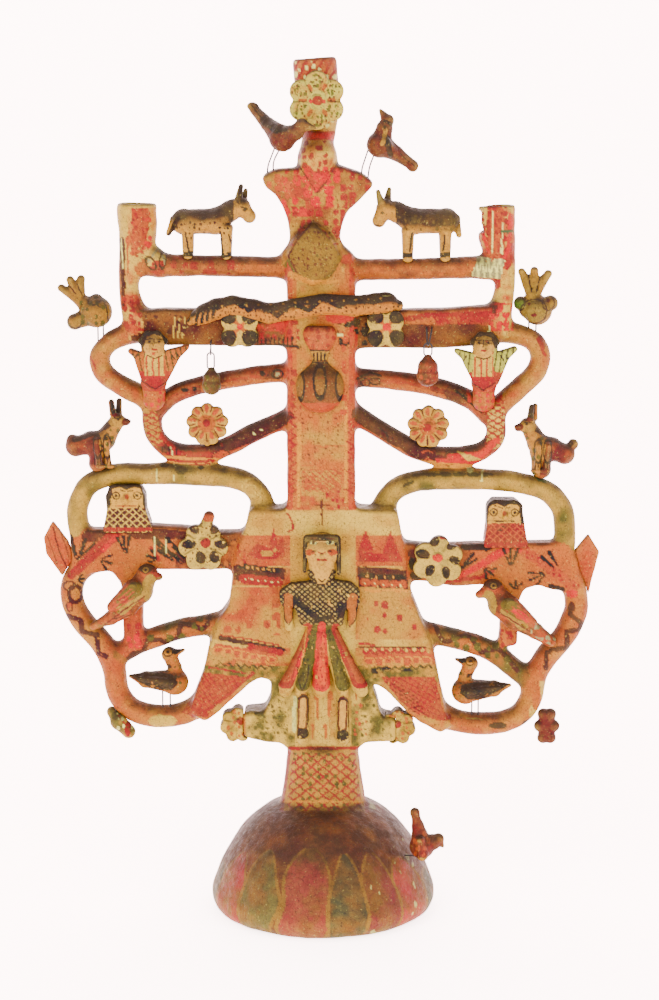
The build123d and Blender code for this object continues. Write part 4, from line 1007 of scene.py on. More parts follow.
figure("jug", mottled(paint(152, 112, 88), paint(176, 120, 84), 9, 72), [
    (PINK, area((-20, 484), (14, 484), (14, 512), (-20, 512))),
    (RED, dots(area((-20, 486), (14, 486), (14, 510), (-20, 510)), 6, 1.7, 41)),
    (TAN, stroke(7, (-17, 480), (12, 480))),
    (SOOT, row(8, lambda x, z: stroke(1.5, (x, z), (x, z + 6)), -14, 476, 8, 476)),
    (SOOT, many(stroke(1.0, (-18, 484.5), (13, 484.5)), stroke(1.2, (-18, 474), (13, 474)))),
    (paint(178, 140, 108), many(oval(-20, 455, 4.2, 13), oval(-2.5, 458, 5.2, 14), oval(15, 456, 4.2, 13))),
    (SOOT, many(oval(-20, 455, 4.2, 13, rim=1.9), oval(-2.5, 458, 5.2, 14, rim=1.9),
                oval(15, 456, 4.2, 13, rim=1.9))),
    (ORANGE, area((-19, 440), (16, 440), (16, 424), (-19, 424))),
], jug_shape)

HAIR = paint(52, 44, 42)


def lady_shape(c):
    c.stick((-1, -34.5, 316), (-1, -35.5, 309), 1.6, 2.3, soft=1.5)
    c.stick((-14.5, -27, 328), (-15.5, -25, 301), 2.2, 1.6, soft=1.2, tag=2)
    c.stick((12.5, -27, 328), (13.5, -25, 299), 2.6, 1.8, soft=1.2, tag=2)
    c.stick((-13, -28, 329.5), (11, -28, 329.5), 3.4, soft=1.5, tag=2)
    for hip, hem, r in ((-9, -31, 6.8), (-5, -17.5, 6.2), (-1, -1.5, 7.8), (3, 16.5, 6.2), (8, 31, 6.8)):
        c.stick((hip, -21, 246), (hem, -22, 201), 3.6, r, soft=1.0)
    c.stick((-5.5, -32.6, 304), (3.5, -32.6, 304), 0.6, soft=0.6, dig=True)
    for x in (-7.5, 5.5):
        c.pat((x, -33.2, 318), (3.0, 1.2, 1.8), 0.8)


def lady_ground(points, normals):
    x, z = seen(points)
    colour = mottled(CREAM, TAN, 12, 73)(points, normals)
    face = z > 288
    colour[face] = mottled(SKIN, paint(220, 182, 138), 9, 74)(points[face], normals[face])
    return colour


BLOUSE = area((-2, 246), (18, 246), (22, 258), (34, 266), (34, 290), (8, 298), (2, 284), (-4, 284),
              (-10, 298), (-42, 290),
              (-40, 266), (-26, 262), (-22, 246))
figure("lady", lady_ground, [
    (paint(196, 172, 148), BLOUSE),
    (SOOT, hatch(BLOUSE, 3.3, 1.5, 40, 140)),
    (SOOT, many(stroke(5, (-24, 272), (-6, 256), (2, 250), end=4), oval(15, 262, 4.5, 8),
                stroke(4, (-6, 252), (6, 256)))),
    (GREY, many(stroke(1.2, (-14, 291), (-5, 284), (3, 284), (12, 291)),
                stroke(1.0, (-4, 289), (-1, 286), (2, 289)))),
    (ROSE, many(oval(-11, 312, 4, 3), oval(8, 312, 4, 3))),
    (HAIR, many(stroke(4.5, (-17, 330), (-8, 334), (-1, 333), (6, 334), (13, 330), end=4),
                stroke(2.4, (-16, 330), (-17.5, 312), (-19, 300), end=1.6),
                stroke(3.2, (13, 330), (15, 318), (15.5, 298), end=2))),
    (BROWN, many(stroke(1.0, (-11, 324), (-6, 324.5)), stroke(1.0, (3, 324.5), (9, 323.5)))),
    (WHITE, many(oval(-8, 320.3, 3.2, 1.5), oval(6, 320.3, 3.4, 1.6))),
    (HAIR, many(oval(-8, 320.3, 1.3), oval(6, 320.3, 1.3),
                stroke(0.7, (-11.5, 320), (-8, 321.8), (-4.8, 320)),
                stroke(0.7, (2.6, 320), (6, 321.9), (9.4, 320)))),
    (RED, many(stroke(0.9, (-4, 312), (-1, 310.8), (2, 312)), stroke(2.0, (-4.5, 305.5), (2.5, 305.5)))),
    (paint(196, 140, 92), many(stroke(9, (-29.5, 272), (-29.5, 254), end=7),
                               stroke(9, (25.5, 272), (23.5, 252), end=7))),
    (HAIR, many(stroke(1.0, (-33.5, 274), (-33, 254), (-29, 249), (-25.5, 255), (-25.5, 274)),
                stroke(1.0, (30, 274), (28, 254), (23, 247), (19.5, 254), (20.5, 274)))),
    (RED, stroke(9.5, (-13, 246), (-23, 222), (-32, 200), end=15)),
    (PINK, stroke(4, (-14, 243), (-24, 222), (-32, 202), end=8)),
    (BRIGHT, stroke(2.0, (-11, 240), (-18, 222), (-25, 202))),
    (YELLOW, many(stroke(1.4, (-14, 247), (-17, 222), (-22, 200)),
                  stroke(1.6, (9, 248), (22, 224), (38, 212)))),
    (OLIVE, stroke(7, (-6, 246), (-12, 218), (-17.5, 197), end=13)),
    (GREEN, dots(stroke(7, (-8, 244), (-14, 218), (-18, 196)), 3.6, 1.2, 43)),
    (HAIR, stroke(0.9, (-21.5, 212), (-21.5, 200), (-18, 191), (-14, 198), (-12, 214))),
    (BRIGHT, stroke(7, (-1, 248), (-1.5, 218), (-1.5, 198), end=16)),
    (paint(226, 128, 92), stroke(2, (0.5, 240), (-1, 216), (-1, 200), end=9)),
    (RED, dots(stroke(6, (0, 240), (-1, 216), (-1, 198), end=11), 3.0, 0.9, 44)),
    (OLIVE, stroke(6, (5, 246), (11, 218), (17, 197), end=13)),
    (GREEN, dots(stroke(5, (6, 244), (12, 218), (17, 196), end=8), 3.4, 1.1, 45)),
    (RED, stroke(8, (11, 246), (22, 220), (32, 200), end=15)),
    (PINK, stroke(3, (12, 243), (23, 220), (32, 201), end=8)),
    (BROWN, many(stroke(8.5, (-17, 184), (-18, 158)), stroke(8.5, (17, 182), (16.5, 158)))),
    (SKIN, many(stroke(5.5, (-17, 182), (-18, 160)), stroke(5.5, (17, 180), (16.5, 160)))),
    (HAIR, many(stroke(1.1, (-22, 184), (-17, 187), (-12.5, 184), (-13, 158)),
                stroke(1.1, (-22, 184), (-23, 160)),
                stroke(1.1, (12, 181), (17, 184), (22, 181), (22, 158)),
                stroke(1.1, (12, 181), (11.5, 160)))),
    (SOOT, many(oval(-18, 153, 5.6, 5), oval(16.5, 151.5, 6, 5))),
], lady_shape, facing=0.6)


def angel_shape(x, z):
    def shape(c):
        c.stick((x, -31, z + 3), (x, -32, z - 1.5), 0.9, 1.4, soft=1.2)
        for dx in (-4, 4):
            c.pat((x + dx, -29.5, z + 3), (1.8, 1.0, 1.2), 0.6)
            c.pat((x + dx, -30.2, z + 3), (0.8, 0.9, 0.8), 0.4, dig=True)
        c.stick((x - 3, -29.5, z - 4), (x + 3, -29.5, z - 4), 0.5, soft=0.5, dig=True)
        c.stick((x - 9.5, -17, z + 4), (x - 4, -19, z + 9.5), 3.0, soft=2.0, tag=2)
        c.stick((x - 4, -19, z + 9.5), (x + 4, -19, z + 9.5), 3.0, soft=2.0, tag=2)
        c.stick((x + 4, -19, z + 9.5), (x + 9.5, -17, z + 4), 3.0, soft=2.0, tag=2)
        for k in range(4):
            for side in (-1, 1):
                at = (x + side * (13 + 4 * k), -23.6, z - 2 - 0.5 * k)
                to = (x + side * (10 + 3.2 * k), -23.6, z - 17 + 2.2 * k)
                c.stick(at, to, 0.7, soft=0.7, dig=True)
    return shape


angels = {-1: (-141, 490), 1: (134.5, 489)}
for side in (-1, 1):
    ax, az = angels[side]
    name = f"angel_{SIDES[(side + 1) // 2]}"
    wing = OCHRE if side < 0 else paint(206, 196, 150)
    wings = many(area((ax - 9, az - 3), (ax - 32, az - 2), (ax - 14, az - 24), (ax - 6, az - 22)),
                 area((ax + 9, az - 3), (ax + 36, az - 1), (ax + 15, az - 24), (ax + 6, az - 22)))
    marks = [
        (paint(196, 72, 44), area((ax - 34, az), (ax, az - 40), (ax + 38, az), (ax + 12, az - 4),
                                  (ax - 12, az - 4))),
        (wing, wings),
        (GREEN, hatch(wings, 4.4, 1.1, 100 if side < 0 else 82)),
        (SOOT, many(*(stroke(1.2, (ax + s * (14 + 5 * k), az - 9),
                             (ax + s * (17 + 5 * k), az - 13)) for k in range(4)
                      for s in (-1, 1)))),
        (CREAM, area((ax - 8, az - 8), (ax + 8, az - 8), (ax + 9, az - 27), (ax - 9, az - 27))),
        (ORANGE, hatch(area((ax - 8, az - 10), (ax + 8, az - 10), (ax + 9, az - 27), (ax - 9, az - 27)), 5,
                       1.6, 90)),
        (RED, stroke(4.5, (ax - 13, az - 28), (ax, az - 36), (ax + 13, az - 28))),
        (MAROON, stroke(1.0, (ax - 15, az - 29), (ax, az - 38.5), (ax + 15, az - 29))),
        (OCHRE, area((ax - 14, az - 40), (ax + 14, az - 40), (ax + 12, az - 66), (ax - 12, az - 66))),
        (BRIGHT, dots(area((ax - 14, az - 40), (ax + 14, az - 40), (ax + 12, az - 66), (ax - 12, az - 66)),
                      5, 1.6, 46)),
        (SKIN, oval(ax, az - 1, 9.5, 10.5)),
        (HAIR, many(stroke(5.0, (ax - 11, az - 1), (ax - 8, az + 8), (ax, az + 10.5), (ax + 8, az + 8),
                           (ax + 11, az - 1)),
                    stroke(0.8, (ax - 7, az + 3.6), (ax - 1.5, az + 4)),
                    stroke(0.8, (ax + 1.5, az + 4), (ax + 7, az + 3.6)),
                    oval(ax - 4, az + 1.8, 1.1), oval(ax + 4, az + 1.8, 1.1),
                    stroke(0.7, (ax, az + 4), (ax - 0.6, az - 2)),
                    stroke(1.0, (ax - 6, az - 10), (ax, az - 12.5), (ax + 6, az - 10)))),
        (RED, stroke(1.6, (ax - 1.6, az - 5), (ax + 1.6, az - 5))),
    ]
    figure(name, mottled(RED, ORANGE, 8, 74), marks, angel_shape(ax, az))

busts = {-1: dict(x=-166, z=361, top=371, mouth=351, low=331),
         1: dict(x=153.5, z=346.5, top=359, mouth=338, low=318)}
for side in (-1, 1):
    b = busts[side]
    bx, bz, mouth, foot = b["x"], b["z"], b["mouth"], b["low"]
    collar = area((bx - 25, foot - 6), (bx + 25, foot - 6), (bx + 17, mouth - 1), (bx - 17, mouth - 1))
    tone, mesh_tone = (MAROON, CREAM) if side < 0 else (paint(176, 74, 66), PINK)
    marks = [
        (HAIR, area((bx - 20, mouth), (bx + 20, mouth), (bx + 17, b["top"] + 4), (bx - 17, b["top"] + 4))),
        (paint(222, 182, 128), area((bx - 14.5, mouth - 2), (bx + 14.5, mouth - 2), (bx + 12, bz + 6),
                                    (bx + 6, bz + 7.5),
                                    (bx, bz + 4.5), (bx - 6, bz + 7.5), (bx - 12, bz + 6))),
        (HAIR, many(oval(bx - 9, bz, 3.0, rim=1.0), oval(bx + 9, bz, 3.0, rim=1.0), oval(bx - 9, bz, 1.2),
                    oval(bx + 9, bz, 1.2), stroke(0.9, (bx - 5, bz + 4.5), (bx - 1, bz + 3.4)),
                    stroke(0.9, (bx + 1, bz + 3.4), (bx + 5, bz + 4.5)))),
        (PINK, oval(bx, bz - 1, 1.8, 2.2)),
        (RED if side < 0 else HAIR, stroke(1.0, (bx - 8, mouth + 0.8), (bx + 8, mouth + 0.8))),
        (tone, collar),
        (mesh_tone, hatch(collar, 4.4, 1.0, 42, 138)),
        (RED, stroke(3.4, (bx - 24, foot + 1), (bx + 24, foot + 1))),
    ]

    def bust_shape(c, bx=bx, bz=bz):
        c.stick((bx, -12.5, bz + 4), (bx, -14.5, bz - 2), 1.8, 2.6, soft=2.0)
        c.stick((bx - 11, -10, bz + 7.5), (bx + 11, -10, bz + 7.5), 3.0, soft=3.0, tag=2)
        for dx in (-9, 9):
            c.pat((bx + dx, -13, bz), (2.2, 1.0, 2.2), 0.7)

    figure(f"bust_{SIDES[(side + 1) // 2]}", mottled(HAIR, GREY, 9, 76), marks, bust_shape, facing=0.7)

# ------------------------------------------------------------------ animals
DARK_HIDE, HIDE = paint(118, 100, 88), paint(212, 170, 124)


def donkey_shape(d, way):
    def shape(c):
        c.stick((d[0] - way * 7, 0, d[1] + 9), (d[0] - way * 22, 0, d[1] + 1), 3.0, 2.2, soft=3)
        for y in (-6.2, 6.2):
            c.pat((d[0] + way * 1.0, y, d[1] + 6), (1.5, 1.0, 1.2), 0.6)
            c.pat((d[0] + way * 7.4, y * 0.55, d[1] - 3.6), (0.9, 0.8, 0.7), 0.5, dig=True)
        c.stick((d[0] + way * 3.5, -6, d[1] - 7), (d[0] + way * 8, -3.6, d[1] - 7), 0.6, soft=0.5, dig=True)
    return shape


figure("donkey_left", shade(DARK_HIDE, HIDE, lambda x: np.where(x > -74, 606, 590), 9), [
    (GREY, dots(area((-122, 576), (-80, 576), (-76, 592), (-124, 592)), 4, 0.9, 50)),
    (HAIR, many(stroke(1.8, (-85, 583), (-83.5, 566)), stroke(1.6, (-114, 581), (-111, 566)),
                stroke(1.4, (-78, 581), (-74, 568)),
                stroke(1.3, (-68, 603.5), (-63, 602)), oval(-65, 601, 1.5, 1.2),
                stroke(0.9, (-63, 591), (-59, 590.5)),
                stroke(4, (-118, 564.5), (-104, 565)), stroke(4, (-86, 562.5), (-71, 566)))),
    (GREY, many(stroke(4.5, (-69, 608), (-67, 622)), stroke(4, (-127, 581), (-120, 594)))),
], donkey_shape((-67.5, 598), 1), facing=0.7)
figure("donkey_right", shade(DARK_HIDE, HIDE, lambda x: np.where(x < 60, 604, 586), 9), [
    (HIDE, many(stroke(6.5, (65, 585), (66, 566)), stroke(5, (74, 582), (73, 568)),
                stroke(5.5, (99, 580), (103, 568)),
                oval(56, 593, 5, 6))),
    (HAIR, many(stroke(1.8, (64, 584), (64.5, 566)), stroke(1.6, (74, 582), (72, 567)),
                stroke(1.6, (101, 580), (100, 568)),
                oval(49.5, 599, 1.6, 1.2), stroke(1.0, (43, 589), (48, 588)),
                stroke(4, (63, 563.5), (77, 564)), stroke(4, (98, 564), (107, 564.5)))),
    (paint(150, 130, 112), dots(area((70, 582), (112, 582), (108, 598), (66, 598)), 6, 1.2, 51)),
], donkey_shape((53, 596), -1), facing=0.7)

RUST = paint(150, 66, 52)
for s in (-1, 1):
    ex, ez = (-173, 425) if s < 0 else (172.5, 421)
    chest = area((ex + 6 * -s, ez + 8), (ex - 14 * -s, ez + 8), (ex - 16 * -s, ez - 20),
                 (ex - 10 * -s, ez - 44),
                 (ex + 18 * -s, ez - 44), (ex + 17 * -s, ez - 14))
    legs_x = (ex + s * 9, ex + s * 17)
    marks = [
        (mix(TAN[None], OCHRE[None], np.array([0.4]))[0], chest),
        (OLIVE, dots(chest, 6, 1.6, 52)),
        (PLUM, stroke(5, (ex + s * 8, ez - 4), (ex + s * 24, ez - 12), (ex + s * 36, ez - 16))),
        (TAN, oval(ex, ez, 7.5, 6)),
        (RUST, many(oval(ex - s * 8, ez - 1.5, 4, 3.4), oval(ex + s, ez + 5, 4, 2))),
        (HAIR, many(stroke(0.9, (ex - 3, ez + 2.4), (ex + 3, ez + 2.4)), oval(ex - s * 1.0, ez + 1, 1.1),
                    *(oval(lx, ez - 22, 3.4, 10, rim=1.0) for lx in legs_x),
                    *(stroke(0.9, (lx + dx, ez - 38), (lx + dx, ez - 31)) for lx in legs_x for dx in (-2.5,
                        0, 2.5)))),
        (GREY, many(stroke(5, (ex + s * 3, ez + 8), (ex + s * 4, ez + 19)),
                    stroke(4, (ex - s * 1, ez + 8), (ex - s * 1, ez + 18)))),
        (SOOT, many(stroke(2, (ex + s * 3, ez + 10), (ex + s * 4, ez + 19)))),
    ]

    def rabbit_shape(c, ex=ex, ez=ez, s=s):
        for y in (-7.2, 5.2):
            c.pat((ex - s * 1.0, y, ez + 1), (1.4, 0.9, 1.3), 0.5)
        c.pat((ex - s * 10.5, -1, ez - 0.5), (1.2, 1.6, 1.0), 0.6)
        for lx in (ex + s * 9, ex + s * 17):
            c.stick((lx, -10.2, ez - 16), (lx - s * 2, -10.8, ez - 34), 2.6, 2.4, soft=2.0)
            c.pat((lx - s * 3, -11, ez - 37), (4.2, 2.6, 2.2), 1.2)
        c.pat((ex + s * 38, -1, ez - 16), (4.6, 4.4, 4.6), 2.0)

    figure(f"rabbit_{SIDES[(s + 1) // 2]}", mottled(RUST, ROSE, 12, 80, -0.25), marks, rabbit_shape,
           facing=0.7)

for s in (-1, 1):
    line = [(-151, 297), (-142, 295), (-158, 284), (-172, 270), (-198, 248)] if s < 0 else \
        [(145, 283), (134, 279), (156, 270), (171, 256), (198, 236)]
    (hx, hz), (kx, kz), (bx, bz), (wx, wz), (tx, tz) = line
    marks = [
        (paint(198, 168, 122), many(oval(hx - s * 4, bz - 4, 7, 13), stroke(9, (bx, bz - 9), (wx, wz - 8)))),
        (ROSE, stroke(12, (hx + s * 4, hz + 1), (bx + s * 5, bz + 4), (wx + s * 2, wz + 3),
                      (tx - s * 8, tz + 4), end=6)),
        (paint(158, 140, 100), stroke(13, (bx + s * 2, bz - 4), (wx, wz), end=9)),
        (RED if s < 0 else BRIGHT, oval(wx - s * 2, wz + 1, 4.5 if s < 0 else 9, 3.4, s * -35)),
        (PINK, hatch(oval(wx, wz, 14, 6, s * -38), 3.4, 1.1, s * -38)),
        (RUST, stroke(1.3, (bx - s * 6, bz - 10), (wx - s * 2, wz - 8), (tx - s * 12, tz + 1))),
        (paint(150, 104, 92), oval(hx, hz + 3, 8, 6)),
        (TAN, oval(hx, hz, 3.4)),
        (HAIR, many(oval(hx, hz, 3.2, rim=1.1), oval(hx, hz, 1.2))),
        (RED if s < 0 else ROSE, oval(kx - s * 1.5, kz, 5.4, 4.6)),
        (MAROON, stroke(0.8, (kx - s * 6, kz), (kx + s * 2, kz + 0.5))),
        (HAIR, many(stroke(0.9, (wx - s * 2, wz - 13), (wx + s * 6, wz - 16)),
                    stroke(0.9, (wx - s * 8, wz - 12), (wx, wz - 16)))),
    ]
    if s > 0:
        marks += [(LILAC, dots(stroke(14, (184, 244), (200, 236)), 5, 1.9, 55))]

    def parrot_shape(c, s=s, line=line):
        (hx, hz), (kx, kz), (bx, bz), (wx, wz), (tx, tz) = line
        up = 3.5
        c.pat((hx - 0.2, -26, hz + up), (2.2, 1.2, 2.2), 0.6)
        c.stick((bx + s * 2, -27, bz + up), (wx + s * 6, -22, wz + up - 4), 7.0, 4.5, soft=2.5)
        c.stick((bx - s * 7, -27.5, bz - 3 + up), (wx + s * 4, -23, wz - 10 + up), 0.8, soft=0.8, dig=True)
        for k in (-2.4, 0.0, 2.4):
            c.stick((wx + s * 10, -21.5, wz - 6 + up + k), (tx - s * 2, -15.5, tz + up + 1.6 * k), 0.6,
                    soft=0.6, dig=True)

    figure(f"parrot_{SIDES[(s + 1) // 2]}", mottled(ROSE, paint(156, 112, 98), 9, 82), marks, parrot_shape,
           facing=0.7)

DUCK_TAN = paint(196, 150, 84)
for s in (-1, 1):
    ox, oz = (0, 0) if s > 0 else (-7, 8)

    def at(x, z, s=s, ox=ox, oz=oz):
        return s * x + ox, z + oz

    wing = area(*(at(x, z) for x, z in ((161, 197.5), (147, 200), (130, 199), (119, 196), (117, 189),
                                        (124, 183), (138, 184),
                                        (150, 190))))
    marks = [
        (paint(120, 98, 76), stroke(7, at(126, 203), at(140, 202), at(158, 198.5), end=4)),
        (SOOT, wing),
        (paint(112, 96, 78), hatch(wing, 3.4, 0.8, -28 * s)),
        (DUCK_TAN, stroke(2.4, at(122, 201.5), at(140, 201), at(156, 198), end=1)),
        (SOOT, stroke(7, at(119.5, 218.5), at(113, 220.5), end=3)),
        (YELLOW, oval(*at(126, 217), 3.6)),
        (HAIR, many(oval(*at(126, 217), 3.8, rim=1.0), oval(*at(126, 217), 1.4))),
        (OLIVE, dots(area(at(108, 208), at(122, 208), at(120, 186), at(110, 186)), 5, 1.1, 57)),
    ]

    def duck_shape(c, at=at):
        for y in (-11.0, 3.0):
            x, z = at(126, 217.6)
            c.pat((x, y, z), (2.0, 0.9, 2.0), 0.5)
            x0, z0 = at(122, 193)
            x1, z1 = at(150, 196.5)
            c.stick((x0, -4 + (y + 4) * 1.35, z0), (x1, -4 + (y + 4) * 0.85, z1), 4.6, 1.6, soft=1.5)

    figure(f"duck_{SIDES[(s + 1) // 2]}", mottled(DUCK_TAN, OCHRE, 9, 58), marks, duck_shape, facing=1.1)

DOVE = paint(152, 104, 74)
WING = paint(74, 58, 50)
figure("dove_left", mottled(DOVE, BROWN, 8, 60), [
    (WING, many(stroke(9, (-47, 674), (-38, 667), (-31, 668), end=5), stroke(2.5, (-20, 680), (-14, 676)))),
    (WING, many(stroke(0.9, (-59, 687), (-50, 676)), stroke(0.9, (-56, 690), (-47, 679)),
                oval(-14, 674, 1.1))),
    (RUST, dots(area((-45, 650), (-25, 650), (-22, 664), (-42, 664)), 5, 1.5, 61)),
], lambda c: (c.stick((-44, -11, 671), (-35, -23, 667), 4.2, 5.0, soft=2.5),
              c.pat((-58, 1, 686), (4.6, 3.0, 3.4), 2.0),
              c.stick((-62, -3, 689), (-52, -5, 680), 0.6, soft=0.6, dig=True)), facing=1.1)
figure("dove_right", mottled(DOVE, RUST, 8, 62), [
    (WING, many(stroke(7, (52, 660), (56, 646), end=4), stroke(3, (51, 674), (57, 671)))),
    (WING, many(oval(51, 669, 1.3), stroke(0.9, (64, 647), (76, 637)), stroke(0.9, (61, 643), (72, 633)))),
    (TAN, stroke(3.5, (52, 666), (49, 655))),
], lambda c: (c.stick((51, -17, 657), (60, -10, 646), 4.5, 3.0, soft=2.5),
              c.pat((74, -3, 637), (4.5, 3.2, 4.5), 2.0),
              c.stick((66, -8.4, 644), (76, -6.4, 634), 0.6, soft=0.6, dig=True)), facing=1.1)

FAN_TAN, FAN_DARK = paint(190, 152, 100), paint(112, 92, 66)


def fantail_shape(lines, bumps):
    def shape(c):
        for (x0, z0), (x1, z1) in lines:
            for y in (-1, 1):
                c.stick((x0, y * 5.6, z0), (x1, y * 3.6, z1), 0.7, soft=0.8, dig=True)
        for x, z, r in bumps:
            c.pat((x, -8, z), (r, 2.4, r), 1.4)
    return shape


figure("fantail_left", mottled(FAN_TAN, paint(170, 140, 98), 8, 84), [
    (FAN_DARK, many(oval(-190, 527, 6, 4, 30, rim=1.2), oval(-185, 523, 3, 3, rim=1.0),
                    stroke(1.2, (-181, 522), (-179, 508)),
                    stroke(1.1, (-205, 540), (-200, 530)), stroke(1.1, (-214, 541), (-206, 532)),
                    oval(-207, 510, 6, 7, rim=1.2))),
    (RUST, many(oval(-214, 546, 1.3), oval(-203, 548, 1.4), oval(-222, 538, 1.2))),
    (OLIVE, dots(area((-215, 500), (-180, 500), (-180, 530), (-215, 530)), 6, 1.6, 63)),
], fantail_shape([((-206, 531), (-214, 541)), ((-203, 532), (-206, 545)), ((-200, 524), (-204, 512))],
                 [(-186, 516, 7)]),
    facing=1.1)
figure("fantail_right", mottled(FAN_TAN, paint(178, 150, 104), 8, 85), [
    (paint(132, 146, 84), oval(164, 524, 5, 5)),
    (paint(180, 156, 116), oval(176, 517, 10, 9)),
    (RUST, many(oval(176, 514, 2.2, 1.6), oval(188, 526, 1.6), oval(172, 523, 1.4))),
    (FAN_DARK, many(stroke(1.1, (171, 548), (174, 533)), stroke(1.1, (181, 548), (178, 533)),
                    oval(188, 524, 5, 6, rim=1.0),
                    oval(163, 523, 5.5, 6, rim=1.2), oval(176, 517, 11, 10, rim=1.0))),
], fantail_shape([((171, 548), (174, 533)), ((182, 548), (177.5, 533)), ((184, 528), (182, 514))],
                 [(176, 516, 7)]),
    facing=1.1)
figure("base_dove", mottled(paint(170, 92, 66), RUST, 8, 64), [
    (BROWN, many(stroke(0.9, (80, 92), (83, 78)), stroke(0.9, (77, 90), (79, 78)), oval(99, 66, 1.1))),
    (PINK, dots(area((74, 40), (96, 40), (92, 66), (78, 66)), 6, 1.8, 65)),
], lambda c: (c.stick((82, -53, 74), (84, -54, 62), 4.0, 5.0, soft=2.0),
              c.pat((78, -44, 96), (4.2, 3.0, 4.2), 2.0),
              c.stick((79, -49.5, 96), (82, -51, 82), 0.6, soft=0.6, dig=True)), facing=1.1)


# ------------------------------------------------------------------ flowers, leaves, fruit
def petal_grooves(x, z, front, radius, count, turn, inner=0.36):
    def shape(c):
        for k in range(count):
            way = radians(turn + 360 * (k + 0.5) / count)
            c.stick((x + inner * radius * cos(way), front, z + inner * radius * sin(way)),
                    (x + 0.98 * radius * cos(way), front, z + 0.98 * radius * sin(way)), 0.9, 1.3, soft=1.0,
                    dig=True)
        c.pat((x, front, z), (0.2 * radius, 1.6, 0.2 * radius), 1.2)
    return shape


def petals(x, z, radius, count, turn, length, width, out):
    return many(*(oval(x + out * radius * cos(radians(turn + 360 * k / count)),
                       z + out * radius * sin(radians(turn + 360 * k / count)), length, width,
                       turn + 360 * k / count)
                  for k in range(count)))


CHALK, CHALK_GREEN = paint(212, 196, 152), paint(150, 146, 88)
figure("top_flower", mottled(CHALK, TAN, 7, 86), [
    (CHALK_GREEN, dots(petals(-4.5, 691, 24, 6, 90, 6.0, 5.0, 0.66), 3.2, 1.5, 71)),
    (OCHRE, petals(-4.5, 691, 24, 6, 60, 3.4, 1.8, 0.5)),
    (BROWN, dots(oval(-4.5, 691, 23), 4.0, 0.7, 72)),
    (CHALK, oval(-4.5, 691, 8)),
    (RED, oval(-4.5, 690.5, 4.2)),
    (BRIGHT, many(oval(-10, 690, 2.0), oval(1, 690, 1.6))),
], petal_grooves(-5, 691, -24, 24, 6, 90))


def dark_flowers_shape(c):
    petal_grooves(-101, 323.5, -16, 21, 6, 0)(c)
    petal_grooves(97, 310.5, -16, 22, 6, 25)(c)


def corners(x, z, reach, size, turn=45):
    return many(*(oval(x + reach * cos(radians(turn + 90 * k)), z + reach * sin(radians(turn + 90 * k)),
                       size, size * 0.72,
                       turn + 90 * k) for k in range(4)))


PETAL_BLACK = paint(54, 54, 60)
figure("dark_petal_flowers", mottled(CREAM, paint(200, 176, 140), 6, 89), [
    (PETAL_BLACK, many(oval(-109.5, 332.5, 5.4, 3.6, -48), oval(-91.5, 332.5, 5.4, 3.6, 55),
                       oval(-114, 319, 6.2, 4.0),
                       oval(-86, 319, 6.2, 4.0), oval(-104, 307.5, 4.6, 5.4, 15),
                       oval(-92.5, 308, 4.0, 5.4, 18))),
    (RED, oval(-99.5, 320, 4.6)),
    (PINK, oval(-97, 344, 6, 6)),
    (MAROON, dots(oval(-101, 319, 20), 3.6, 0.6, 67)),
    (PETAL_BLACK, many(oval(94.5, 322, 5, 4.4, 90), oval(110, 318.5, 6, 3.8, 35),
                       oval(85, 310.5, 6.4, 4.0, -8),
                       oval(112.5, 305, 5.6, 3.6, -25), oval(91, 296.5, 5.4, 4.0, 62),
                       oval(104.5, 294.5, 5.4, 3.6, 100))),
    (BRIGHT, oval(97.5, 307, 4.4, 3.8)),
    (RED, oval(104, 325, 5, 2)),
    (OCHRE, many(oval(-69, 504, 9.5), oval(53, 504, 9.5))),
    (CREAM, many(petals(-69, 504, 18, 4, 0, 5.5, 3.0, 0.45), petals(53, 504, 18, 4, 0, 5.5, 3.0, 0.45))),
    (PETAL_BLACK, many(corners(-70, 504, 15, 9.6), corners(53, 504, 15, 9.4))),
    (BRIGHT, many(oval(-69.5, 504, 2.4), oval(53.5, 504, 3.6))),
], dark_flowers_shape, facing=0.6)


def small_flowers_shape(c):
    for x, z, front, radius, count in ((-97, 424.4, -9, 18, 9), (88.5, 422.4, -9, 18, 9),
                                       (-73, 168, -14, 15.5, 7),
                                       (64, 166, -14, 15.5, 7)):
        petal_grooves(x, z - 1.0, front, radius, count, 90)(c)


def flower_ground(points, normals):
    x, y, z = points.T
    colour = mottled(CREAM, paint(196, 166, 110), 7, 90)(points, normals)
    daisy = z > 300
    colour[daisy] = mottled(paint(202, 158, 96), paint(214, 176, 130), 6, 92)(points[daisy], normals[daisy])
    return colour


figure("rosettes", flower_ground, [
    (PINK, many(petals(-98, 423.5, 18, 9, 90, 3.6, 1.8, 0.66), petals(88, 420.5, 18, 9, 90, 3.6, 1.8, 0.66))),
    (OCHRE, many(oval(-98, 422.5, 7.5), oval(88, 420, 7.5))),
    (BROWN, many(petals(-98, 423.5, 18, 9, 70, 4.6, 0.6, 0.74),
                 petals(88, 420.5, 18, 9, 70, 4.6, 0.6, 0.74))),
    (RED, many(oval(-98, 422.5, 3.2), oval(87.5, 419, 3.8))),
    (RED, many(oval(-71, 164, 3.6), oval(64, 161, 3.4))),
    (OCHRE, dots(many(oval(-71, 164, 15), oval(64, 161, 15)), 5, 1.4, 68)),
], small_flowers_shape, facing=0.6)


def ornament_ground(points, normals):
    x, y, z = points.T
    colour = mottled(ORANGE, PINK, 8, 91, -0.2)(points, normals)
    low = (z < 200) & (x > 0)
    colour[low] = mottled(paint(150, 74, 54), RUST, 5, 93)(points[low], normals[low])
    low = (z < 200) & (x < 0)
    colour[low] = mottled(TAN, OLIVE, 8, 94, -0.1)(points[low], normals[low])
    return colour


